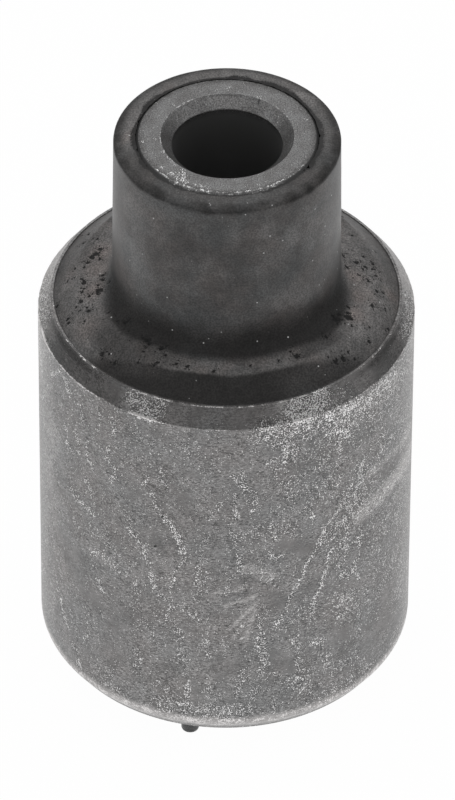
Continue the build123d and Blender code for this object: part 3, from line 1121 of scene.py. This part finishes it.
crowds = (-88, -74, -62, -40, 66, 84, 98)
for _ in range(40):
    crowd = chance.choice(crowds)
    shoulder_pits.append((chance.gauss(crowd, 7), chance.gauss(18.6, 1.4), chance.uniform(0.12, 0.22)))
smallest_pock = 0.3
pocks = [pit for pit in shoulder_pits if pit[2] >= smallest_pock]
crumbled = []
for at, from_axis, size in shoulder_pits:
    crumbled.append((at, from_axis, size * 0.92))
    for _ in range(chance.choice((1, 2, 3, 4))):
        beside = at + chance.gauss(0, size * 3.4)
        further = from_axis + chance.gauss(0, size * 0.9)
        crumbled.append((beside, further, size * chance.uniform(0.3, 0.55)))
print(len(shoulder_pits), "pits with", len(crumbled) - len(shoulder_pits), "crumbs beside them")

# %% Open pits
pit_depth = 0.18 * mm
on_shoulder = (height > sleeve_top - 0.05 * mm) * (height < neck_root_height + 0.6 * mm)
on_shoulder = on_shoulder * (radius > inner_radius)
fray = bumps(angle, radius, height, size=0.35 * mm, seed=10)
open_pit = np.zeros(len(angle))
for at, from_axis, size in crumbled:
    away = away_from(angle, radius, at, from_axis) * (1 + 0.6 * fray)
    open_pit = np.maximum(open_pit, 1 - smooth(away, 0.3 * size * mm, size * mm))
open_pit = open_pit * on_shoulder
height = height - open_pit * pit_depth
print("open share of the shoulder", round(float(open_pit.sum() / on_shoulder.sum()), 3))

# %% Pocked skin round the pits
# Above 0 where the skin is pricked by pinholes, and well below 0 where it is whole
pocked = np.zeros(len(angle))
for at, from_axis, size in pocks:
    away = away_from(angle, radius, at, from_axis)
    pocked = np.maximum(pocked, (0.62 + 0.62 * size) * (1 - smooth(away, 0.6 * mm, 2.0 * mm)))
pocked = pocked * (1 + 0.25 * fray) * on_shoulder - 0.5
print("pocked share of the rubber", round(float((pocked > 0).mean()), 3))

# %% Uneven skin
skin_depth = 0.012 * mm
skin = bumps(angle, radius, height, size=2.2 * mm, seed=12)
up_the_neck = smooth(height, neck_root_height, neck_root_height + 1 * mm) * (radius > inner_radius + 0.2 * mm)
bare = np.clip(on_shoulder + up_the_neck, 0, 1)
held = radius > sleeve_bore_radius - 0.05 * mm
radius = np.where(held, radius, radius + bare * skin * skin_depth)
put_back(rubber_mesh, angle, radius, height)
print("bare share of the rubber", round(float(bare.mean()), 2))

# %% [markdown]
# ## Paint for the rubber
#
# The shoulder is painted in rings, because dust, handling and shade follow its form: painted
# shade in the hollow at the neck's foot and on the bank in front, and a grey-brown bloom on the
# flat between them, which widens towards the sides, where it is partly painted side light. The
# neck is plain with a few paler and darker clouds. Round its mouth the gap is painted black as
# its shade, wider at some angles than at others.

# %% Rings of the shoulder
clouds = bumps(angle, radius, height, size=5 * mm, seed=13)
specks = bumps(angle, radius, height, size=1.2 * mm, seed=14)
out = radius / mm + 0.25 * clouds
on_flange = on_shoulder * smooth(radius, neck_root_radius + 1.7 * mm, neck_root_radius + 3.2 * mm)
on_bank = on_shoulder * smooth(radius, crest_radius - 0.1 * mm, crest_radius + 0.5 * mm)
low_down = 1 - smooth(height, neck_root_height - 0.6 * mm, neck_root_height + 5.2 * mm)
in_hollow = smooth(height, crest_height - 1.0 * mm, crest_height)
in_hollow = in_hollow * (radius < neck_root_radius + 3.6 * mm) * (radius > inner_radius + 1 * mm)
hollow_side = 84 - 8 * (out - 15.4)
print("flange has", int((on_flange > 0.5).sum()), "vertices, bank", int((on_bank > 0.5).sum()))

# %% Parts of the mouth
on_annulus = smooth(height, neck_top - 0.3 * mm, neck_top - 0.1 * mm)
annulus_flat = on_annulus * (1 - smooth(radius, neck_top_radius - 1.5 * mm, neck_top_radius - 0.5 * mm))
corner = smooth(radius, neck_top_radius - 2.0 * mm, neck_top_radius - 0.7 * mm)
corner *= smooth(height + 0.5 * mm * clouds, neck_top - 1.15 * mm, neck_top - 0.4 * mm)
corner *= 0.75 + 0.5 * bumps(angle, radius, height, size=1.6 * mm, seed=16)
corner *= 1 - 0.5 * smooth(off_front, 100, 140)
print("annulus has", int((on_annulus > 0.5).sum()), "vertices")

# %% Bloom, and painted side light
# Dust bloom on the flange, the bank and the annulus; towards the sides of the flange, the bank and the hollow
# it is painted side light.
to_the_sides = smooth(off_front, 44, 68)
bloom_and_side_light = on_flange * (0.36 + 0.3 * to_the_sides) * (1 - on_bank)
bloom_and_side_light += on_bank * (0.3 + 0.32 * to_the_sides) * (1 - 0.3 * smooth(out, 21.4, 22.9))
bloom_and_side_light *= 1 - (0.36 + 0.12 * (angle < 0)) * smooth(off_front, 86, 104)
lit_hollow_sides = in_hollow * low_down * smooth(off_front, hollow_side - 4, hollow_side + 14)
bloom_and_side_light = np.maximum(bloom_and_side_light, lit_hollow_sides * 0.68)
left_bloom = between(-angle, (70, 88), (105, 140))
right_bloom = smooth(angle, 76, 90)
back_bloom = smooth(off_front, 95, 140)
bloom_and_side_light += annulus_flat * (0.04 + 0.68 * left_bloom + 0.12 * right_bloom + 0.5 * back_bloom)
bloom_and_side_light *= 1 + 0.45 * clouds + 0.25 * specks
paint(rubber_mesh, "bloom_and_side_light", np.clip(bloom_and_side_light, 0, 1))

# %% Painted shade in the hollow and on the bank
# The hollow at the neck's foot and the bank in front are darkened as painted shade, which fades towards the
# sides.
dark_to = 17.5 + 0.9 * smooth(off_front, 26, 50)
dark_end = dark_to + 0.9 + 0.6 * smooth(off_front, 30, 50)
in_middle = 1 - smooth(off_front, hollow_side - 14, hollow_side + 10)
hollow_shade = in_hollow * (1 - smooth(out, dark_to - 1.1, dark_end)) * low_down * in_middle
bank_depth = smooth(radius + 0.3 * clouds * mm, crest_radius + 0.1 * mm, sleeve_bore_radius - 0.3 * mm)
fade = smooth(off_front, 28, 54)
bank_from = 19.6 + 3.3 * np.minimum(off_front / 54.5, 1.2) ** 6
bank_start = bank_from - 0.25 - 0.9 * fade
bank_whole = bank_from + 0.4 + 1.6 * fade
bank_edge = smooth(out + (0.15 + 0.25 * fade) * specks, bank_start, bank_whole) * on_shoulder
bank_shade = 1.0 - 0.16 * smooth(off_front, 15, 35) - 0.08 * smooth(angle, 12, 30) + 0.1 * bank_depth
dim_left = between(off_front, (14, 36), (54, 68)) * (1 - smooth(out, 20.6, 22.4))
dim_right = between(off_front, (22, 36), (46, 60)) * (1 - smooth(out, 19.0, 20.2))
dim = np.where(angle < 0, dim_left, dim_right) * on_shoulder
print("darkened share of the shoulder", round(float(hollow_shade.sum() / on_shoulder.sum()), 2))

# %% Painted shade round the mouth
# The rounded corner of the neck, darker in front, and the annulus beside the front are darkened as painted
# shade.
dark_corner = corner * (0.72 + 0.24 * between(off_front, (22, 42), (76, 92)))
beside = on_annulus * (0.5 + 0.5 * smooth(off_front, 35, 60)) * (1 - smooth(off_front, 70, 88))
painted_shade = largest(hollow_shade, bank_edge * bank_shade, 0.6 * dim, on_bank * 0.3 * bank_depth,
                dark_corner, 0.4 * beside)
paint(rubber_mesh, "painted_shade", np.clip(painted_shade * (1 + 0.25 * clouds), 0, 1))

# %% Painted shade of the gap round the mouth
# The black ring round the mouth is painted shade in the crevice between rubber and tube; these stretches
# widen it.
smudge = stretches(angle, 0.4, [
    (-88, 14), (-62, 7), (92, 22), (62, 6), (146, 18), (172, 9), (25, 5), (-30, 6), (-125, 12)])
straight_on = 1 - smooth(off_front, 24, 44)
wavering = bumps(angle, at_mouth, 0 * height, size=2.4 * mm, seed=15)
patchy = bumps(angle, at_mouth, 0 * height, size=1.1 * mm, seed=20)
gap_width = np.maximum(0.3 + 0.28 * wavering + 0.5 * smudge - 0.26 * straight_on, 0.02) * mm
gap_shade = on_top * (1 - smooth(radius - inner_radius, 0.12 * mm + 0.2 * gap_width, 0.2 * mm + gap_width))
gap_shade *= 0.78 + 0.3 * patchy
gap_shade += (on_top == 0) * (radius < inner_radius + 0.35 * mm) * (height > neck_top - 2 * mm)
gap_shade *= 1 - 0.35 * straight_on
paint(rubber_mesh, "gap_shade", np.clip(gap_shade, 0, 1))
paint(rubber_mesh, "pocked", pocked)
paint(rubber_mesh, "black", np.clip(np.maximum(lip * torn * 1.6, open_pit), 0, 1))

# %% Tan patches
# Each patch: angle, millimetres from the axis, and reach in millimetres
tan_spots = [
    (-104, 17.2, 3.6), (-92, 17.0, 3.6), (-80, 17.6, 3.2), (-62, 20.6, 3.0), (-16, 17.8, 2.2),
    (16, 17.4, 1.8), (31, 17.6, 1.8), (36, 20, 2.0), (66, 18.4, 2.8), (76, 17.6, 3.0),
    (88, 16.8, 2.8), (-10, 19.4, 2.2), (86, 22, 1.8),
]
tan = np.zeros(len(angle))
for at, from_axis, size in tan_spots:
    away = away_from(angle, radius, at, from_axis)
    tan = np.maximum(tan, 1 - smooth(away * (1 + 0.3 * specks), 0, size * mm))
faint = 0.5 * smooth(bumps(angle, radius, height, size=3.5 * mm, seed=18), 0.1, 0.5)
paint(rubber_mesh, "tan", np.maximum(tan * on_shoulder, faint))

# %% Paler and darker clouds of the neck
# Each cloud: angle, height, half its width in degrees, half its height, and how pale it is
pale_spots = [
    (34, 71.5, 13, 2.2, 0.55), (46, 79, 6, 3.0, 0.5), (35, 81.2, 6, 2.0, 0.75),
    (43, 69.6, 7, 1.4, 0.45), (20, 84, 6, 2.2, 0.5), (-52, 74, 8, 6, 0.6), (-56, 82, 10, 3, 0.4),
    (62, 78, 8, 6, 0.45), (4, 83, 6, 2, 0.35), (-24, 83.5, 4, 2, -0.6), (8, 78.5, 14, 1.6, -0.35),
    (-33, 72, 8, 2.4, -0.45), (-17, 81, 5, 1.4, -0.4), (22, 76, 6, 2, -0.3),
    (-40, 78, 6, 2.4, -0.3), (56, 71.6, 7, 1.6, -0.3), (-33, 70.4, 7, 1.4, -0.4),
]
pale = np.zeros(len(angle))
for at, from_floor, wide, tall, amount in pale_spots:
    away = np.hypot((angle - at) / wide, (height / mm - from_floor) / tall) * (1 + 0.3 * specks)
    pale += amount * (1 - smooth(away, 0.2, 1.3))
pale *= (radius > inner_radius + 2 * mm) * (height > neck_root_height)
brushed = bumps(angle * 1.6, radius, height, size=1.0 * mm, seed=21)
brushed += bumps(angle * 2, radius, height, size=0.5 * mm, seed=22)
pale += np.clip(on_annulus * (0.5 * brushed + 0.5 * clouds), -0.8, 0.8)
paint(rubber_mesh, "pale", np.clip(pale, -1, 1))
rubber = make_piece("rubber_moulding", rubber_mesh, "rubber", "rubber_body")

# %% [markdown]
# ## Finish of the outer sleeve
#
# Phosphated steel: a chemical bath has turned the metal a soft middle grey that takes oil well.
# It is still metal, so most of its light is reflected, but from a rough skin. The five groups
# are laid over each other in the order in which the real marks were made: the mottled film and
# its grain, smears with painted light and shade, frosting with its bruised gaps, worn edges
# with painted highlights, and last a few pinholes.

# %% Material: frosted grey steel
pale_film_and_painted_light = grey(188, 2)
dark_film_and_painted_shade = grey(60, 1)
bruise = grey(62)
crumb = grey(250, 1)
bright_edge = grey(234, 2)
pinhole = grey(40)
sleeve_finish, tree, shader = new_material("frosted_grey_steel")
scuff = painted(tree, "scuff")
smear_and_painted_light = painted(tree, "smear_and_painted_light")
grain = use_group(tree, turned_grain, Fineness=6800.0, Length=3.0, Seed=3.0)["Grain"]
patch = use_group(tree, mottle, Fineness=150.0, Seed=5.0)
smudge = use_group(tree, mottle, Fineness=520.0, Seed=6.0)
frost = use_group(tree, frosting, Mask=scuff, Fineness=7400.0, Flatness=0.85, Seed=8.0)
edge = painted(tree, "edge")
worn = use_group(tree, worn_edge, Edge=edge, Amount=0.6, Fineness=3600.0, Seed=2.0)["Worn"]
holes = painted(tree, "holes")
hole = use_group(tree, pits, Painted=holes, Fineness=300.0, Share=0.02, Size=0.12, Seed=4.0)["Pit"]
dark = blend(tree, patch["Warm"], grey(123, 0), grey(123, 2))
light = blend(tree, patch["Warm"], grey(137, 0), grey(137, 2))
colour = blend(tree, patch["Light"], dark, light)
colour = shade(tree, colour, ramp(tree, smudge["Light"], 0, 1, 0.84, 1.16, "LINEAR"))
# The smear lays on paler polish and painted light, then darker film and painted shade.
colour = blend(tree, ramp(tree, smear_and_painted_light, 0, 1, 0, 0.75, "LINEAR"), colour, pale_film_and_painted_light)
colour = blend(tree, ramp(tree, smear_and_painted_light, -1, 0, 0.7, 0, "LINEAR"), colour, dark_film_and_painted_shade)
patchy = ramp(tree, smudge["Warm"], 0.1, 0.9, 0.5, 1.0)
quieted = times(tree, painted(tree, "quiet"), 0.4)
grain_share = minus(tree, patchy, quieted)
colour = shade(tree, colour, ramp(tree, grain, 0.3, 0.7, 0.36, 1.68), grain_share)
colour = lay(tree, colour, frost["Gaps"], 0.8, bruise)
colour = lay(tree, colour, frost["Crumbs"], 0.95, crumb)
colour = lay(tree, colour, worn, 0.85, bright_edge)
colour = blend(tree, hole, colour, pinhole)
wire(tree, shader.inputs["Base Color"], colour)
wire(tree, shader.inputs["Roughness"], ramp(tree, frost["Crumbs"], 0, 1, 0.42, 0.36))
shader.inputs["Metallic"].default_value = 0.88
raised_grain = times(tree, grain, 0.6)
raised_crumbs = times(tree, frost["Crumbs"], 0.4)
relief = minus(tree, plus(tree, raised_grain, raised_crumbs), hole)
raise_skin(tree, shader, relief, 0.35)
sleeve.data.materials.append(sleeve_finish)
print(sleeve_finish.name, "has", len(tree.nodes), "nodes")

# %% [markdown]
# ## Finish of the inner sleeve
#
# The same steel, but faced on a lathe after its bath: a finer, cleaner grey, with a few bright
# crumbs where bolts and washers have touched it. Inside the bore it is paler, because so little
# light gets there that a darker film would look like a black hole.

# %% Material: faced steel
lit_lead_in = grey(155, 1)
dull_film_and_shade = grey(72, 1)
crumb = grey(250)
bore_painted_light = grey(142)
bright_edge = grey(235)
gap_shade_and_crack = grey(62)
tube_finish, tree, shader = new_material("faced_steel")
grain = use_group(tree, turned_grain, Fineness=6500.0, Length=1.2, Seed=13.0)["Grain"]
patch = use_group(tree, mottle, Fineness=420.0, Seed=15.0)
scuff = painted(tree, "scuff")
crumbs = use_group(tree, frosting, Mask=scuff, Fineness=6500.0, Flatness=1.0, Seed=18.0)["Crumbs"]
edge = painted(tree, "edge")
worn = use_group(tree, worn_edge, Edge=edge, Amount=0.55, Fineness=4200.0, Seed=12.0)["Worn"]
colour = blend(tree, patch["Light"], grey(101, 1), grey(123))
# Painted light on the lead-in.
colour = lay(tree, colour, painted(tree, "lead_in_light"), 0.6, lit_lead_in)
colour = shade(tree, colour, ramp(tree, grain, 0.3, 0.7, 0.62, 1.42))
# A dull film on the face's outer band, and painted shade at the sides of the lead-in.
colour = lay(tree, colour, painted(tree, "dulled_and_shaded"), 0.5, dull_film_and_shade)
colour = lay(tree, colour, crumbs, ramp(tree, scuff, 0.0, 0.3, 0.4, 0.9), crumb)
# The bore is painted paler as painted light.
colour = blend(tree, painted(tree, "inside"), colour, bore_painted_light)
colour = lay(tree, colour, worn, 0.8, bright_edge)
# Painted shade in the gap, and the crack.
colour = blend(tree, painted(tree, "gap_shade_and_crack"), colour, gap_shade_and_crack)
wire(tree, shader.inputs["Base Color"], colour)
wire(tree, shader.inputs["Roughness"], ramp(tree, grain, 0.2, 0.8, 0.46, 0.38))
shader.inputs["Metallic"].default_value = 0.88
raised_grain = times(tree, grain, 0.5)
raised_crumbs = times(tree, crumbs, 0.5)
raise_skin(tree, shader, plus(tree, raised_grain, raised_crumbs), 0.35)
tube.data.materials.append(tube_finish)
print(tube_finish.name, "has", len(tree.nodes), "nodes")

# %% [markdown]
# ## Finish of the rubber
#
# Moulded rubber is nearly black with a satin skin. What makes it look real is what lies on it: a
# brown-grey bloom that comes out of the rubber on the upper faces, lighter at the sides as painted
# side light, painted shade in the hollow round the neck and on the bank, stray pale dust, and
# black pits where the skin has opened. The pits group makes the dust too, in a pale colour, and
# the frosting group pricks the skin round the larger pits.

# %% Material: moulded rubber
pale_rubber = grey(110, 1)
deep_rubber = grey(36, 1)
tan_bloom = grey(125, 7)
painted_shade_black = grey(28, 1)
gap_shade_black = grey(12, 1)
pit_black = grey(10)
dust_white = grey(190)
rubber_finish, tree, shader = new_material("moulded_rubber")
grain = use_group(tree, turned_grain, Fineness=4500.0, Length=1.1, Seed=23.0)["Grain"]
patch = use_group(tree, mottle, Fineness=170.0, Seed=25.0)
smudge = use_group(tree, mottle, Fineness=700.0, Seed=26.0)
dust = use_group(tree, pits, Fineness=1250.0, Share=0.35, Size=0.185, Seed=28.0)["Pit"]
black = painted(tree, "black")
hole = use_group(
    tree, pits, Painted=black, Fray=5200.0, Fineness=900.0, Share=0.03, Size=0.16, Seed=24.0)["Pit"]
pocked = painted(tree, "pocked")
pock = use_group(tree, frosting, Mask=pocked, Fineness=5600.0, Flatness=0.9, Seed=29.0)["Crumbs"]
hole = larger(tree, hole, times(tree, pock, 0.85))
dark = blend(tree, patch["Warm"], grey(53, -1), grey(54, 3))
light = blend(tree, patch["Warm"], grey(84, -1), grey(85, 3))
colour = blend(tree, patch["Light"], dark, light)
colour = blend(tree, ramp(tree, painted(tree, "pale"), 0, 1, 0, 0.66, "LINEAR"), colour, pale_rubber)
colour = blend(tree, ramp(tree, painted(tree, "pale"), -1, 0, 0.66, 0, "LINEAR"), colour, deep_rubber)
# Bloom colour, which towards the sides also stands for painted side light.
bloom_and_side_light_colour = blend(tree, smudge["Light"], grey(98, 1), grey(128, 2))
bloom_and_side_light_colour = lay(tree, bloom_and_side_light_colour, painted(tree, "tan"), 0.8, tan_bloom)
bloom_and_side_light = painted(tree, "bloom_and_side_light")
cover = times(tree, bloom_and_side_light, ramp(tree, grain, 0.25, 0.7, 0.86, 1.06), clamp=True)
colour = blend(tree, cover, colour, bloom_and_side_light_colour)
# Painted shade in the hollow, on the front bank and at the corner of the neck.
colour = lay(tree, colour, painted(tree, "painted_shade"), 0.95, painted_shade_black)
colour = shade(tree, colour, ramp(tree, smudge["Warm"], 0, 1, 0.86, 1.14, "LINEAR"))
colour = shade(tree, colour, ramp(tree, grain, 0.3, 0.7, 0.66, 1.4))

# %% Painted gap shade, pits and skin of the rubber
# Painted shade in the gap round the mouth, with a torn edge.
torn_edge = times(tree, minus(tree, grain, 0.5), 2.2)
open_gap = ramp(tree, plus(tree, painted(tree, "gap_shade"), torn_edge), 0.14, 0.56)
gap_shade = times(tree, open_gap, ramp(tree, painted(tree, "gap_shade"), 0.02, 0.2))
colour = lay(tree, colour, gap_shade, 0.94, gap_shade_black)
colour = lay(tree, colour, hole, 0.94, pit_black)
colour = blend(tree, dust, colour, dust_white)
wire(tree, shader.inputs["Base Color"], colour)
dull = larger(tree, cover, larger(tree, hole, painted(tree, "painted_shade")))
wire(tree, shader.inputs["Roughness"], ramp(tree, dull, 0, 1, 0.4, 0.7))
shader.inputs["Specular IOR Level"].default_value = 0.32
relief = minus(tree, times(tree, grain, 0.6), hole)
raise_skin(tree, shader, relief, 0.4)
rubber.data.materials.append(rubber_finish)
print(rubber_finish.name, "has", len(tree.nodes), "nodes")

# %% [markdown]
# ## Floor
#
# The bush stands on a pale sheet. To the camera the sheet is almost plain white; a small share
# of it stays ordinary diffuse white, so that it still takes the shadow of the bush. In the
# steel's reflections it is white near the bush and fades further off, as a lit sheet does.

# %% Floor
half = 3.0
glow_from = 0.25
glow_to = 0.7
floor_mesh = bpy.data.meshes.new("floor")
corners = [(-half, -half, 0), (half, -half, 0), (half, half, 0), (-half, half, 0)]
floor_mesh.from_pydata(corners, [], [(0, 1, 2, 3)])
floor = bpy.data.objects.new("floor", floor_mesh)
bpy.context.collection.objects.link(floor)
floor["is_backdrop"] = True
material, tree, shader = new_material("pale_floor")
tree.nodes.remove(shader)
diffuse = add(tree, "BsdfDiffuse", {"Color": (0.9, 0.9, 0.9, 1)})
position = add(tree, "NewGeometry").outputs["Position"]
from_bush = add(tree, "VectorMath", {0: position}, operation="LENGTH").outputs["Value"]
lit_spot = ramp(tree, from_bush, glow_from, glow_to, 1.0, 0.12)
rays = add(tree, "LightPath").outputs
clear = larger(tree, rays["Is Camera Ray"], rays["Is Transmission Ray"])
white = add(tree, "Emission", {"Color": (1, 1, 1, 1), "Strength": larger(tree, clear, lit_spot)})
share = times(tree, larger(tree, clear, rays["Is Glossy Ray"]), 0.982)
mixed = add(tree, "MixShader", {0: share, 1: diffuse.outputs[0], 2: white.outputs[0]})
wire(tree, tree.nodes["Material Output"].inputs["Surface"], mixed.outputs[0])
floor_mesh.materials.append(material)
print("floor of", 2 * half, "m")

# %% [markdown]
# ## Studio
#
# A round glossy part shows the whole room. The room here is white overhead and behind, and dark
# low down all round and high up in front, on the camera's side: without that dark side the
# cones and the corner of the neck would have nothing to show their shape with. The world's
# shader works the room out from the direction of each ray. A weak softbox overhead, a little
# behind the bush, gives the even light a direction.

# %% Room
world = bpy.data.worlds.new("studio")
bpy.context.scene.world = world
world.use_nodes = True
tree = world.node_tree
tree.nodes.clear()
way = add(tree, "SeparateXYZ", {0: add(tree, "TexCoord").outputs["Generated"]}).outputs
level_squared = minus(tree, 1.0, times(tree, way["Z"], way["Z"]))
level_length = maths(tree, "SQRT", level_squared)
forwards = times(tree, way["Y"], -1.0)
frontness = maths(tree, "DIVIDE", forwards, larger(tree, level_length, 0.001))
edge_low = ramp(tree, frontness, 0.1, 0.8, 0.12, 0.86)
edge_high = ramp(tree, frontness, 0.1, 0.8, 0.62, 0.98)
height_share = ramp(tree, way["Z"], edge_low, edge_high)
dark_level = ramp(tree, frontness, -0.2, 0.6, 0.12, 0.26)
in_front = ramp(tree, frontness, 0.3, 0.9)
front_glow = times(tree, in_front, ramp(tree, way["Z"], 0.5, 0.8, 0.0, 0.22))
dark_level = plus(tree, dark_level, front_glow)
room = plus(tree, dark_level, times(tree, height_share, minus(tree, 1.1, dark_level)))
rays = add(tree, "LightPath").outputs
clear = larger(tree, rays["Is Camera Ray"], rays["Is Transmission Ray"])
strength = blend(tree, rays["Is Glossy Ray"], (0.75, 0.75, 0.75, 1), room)
strength = blend(tree, clear, strength, (1, 1, 1, 1))
background = add(tree, "Background", {"Color": strength, "Strength": 1.0})
add(tree, "OutputWorld", {"Surface": background.outputs[0]})
print("room has", len(tree.nodes), "nodes")

# %% Softbox overhead
watts_per_area = 0.5 * math.pi
aim = Vector((0, 0, 0.04))
data = bpy.data.lights.new("softbox", "AREA")
data.shape = "RECTANGLE"
data.size = 1.2
data.size_y = 0.8
data.energy = watts_per_area * data.size * data.size_y
softbox = bpy.data.objects.new("softbox", data)
bpy.context.collection.objects.link(softbox)
softbox.location = (-0.15, 0.35, 1.3)
softbox.rotation_mode = "QUATERNION"
softbox.rotation_quaternion = (aim - softbox.location).to_track_quat("-Z", "Y")
softbox.visible_camera = False
print("softbox of", round(data.energy, 2), "W")

# %% Finish
bpy.context.scene.view_settings.view_transform = "Standard"
low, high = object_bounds()
print("visual box in mm:", [round(v / mm, 2) for v in (*low, *high)])
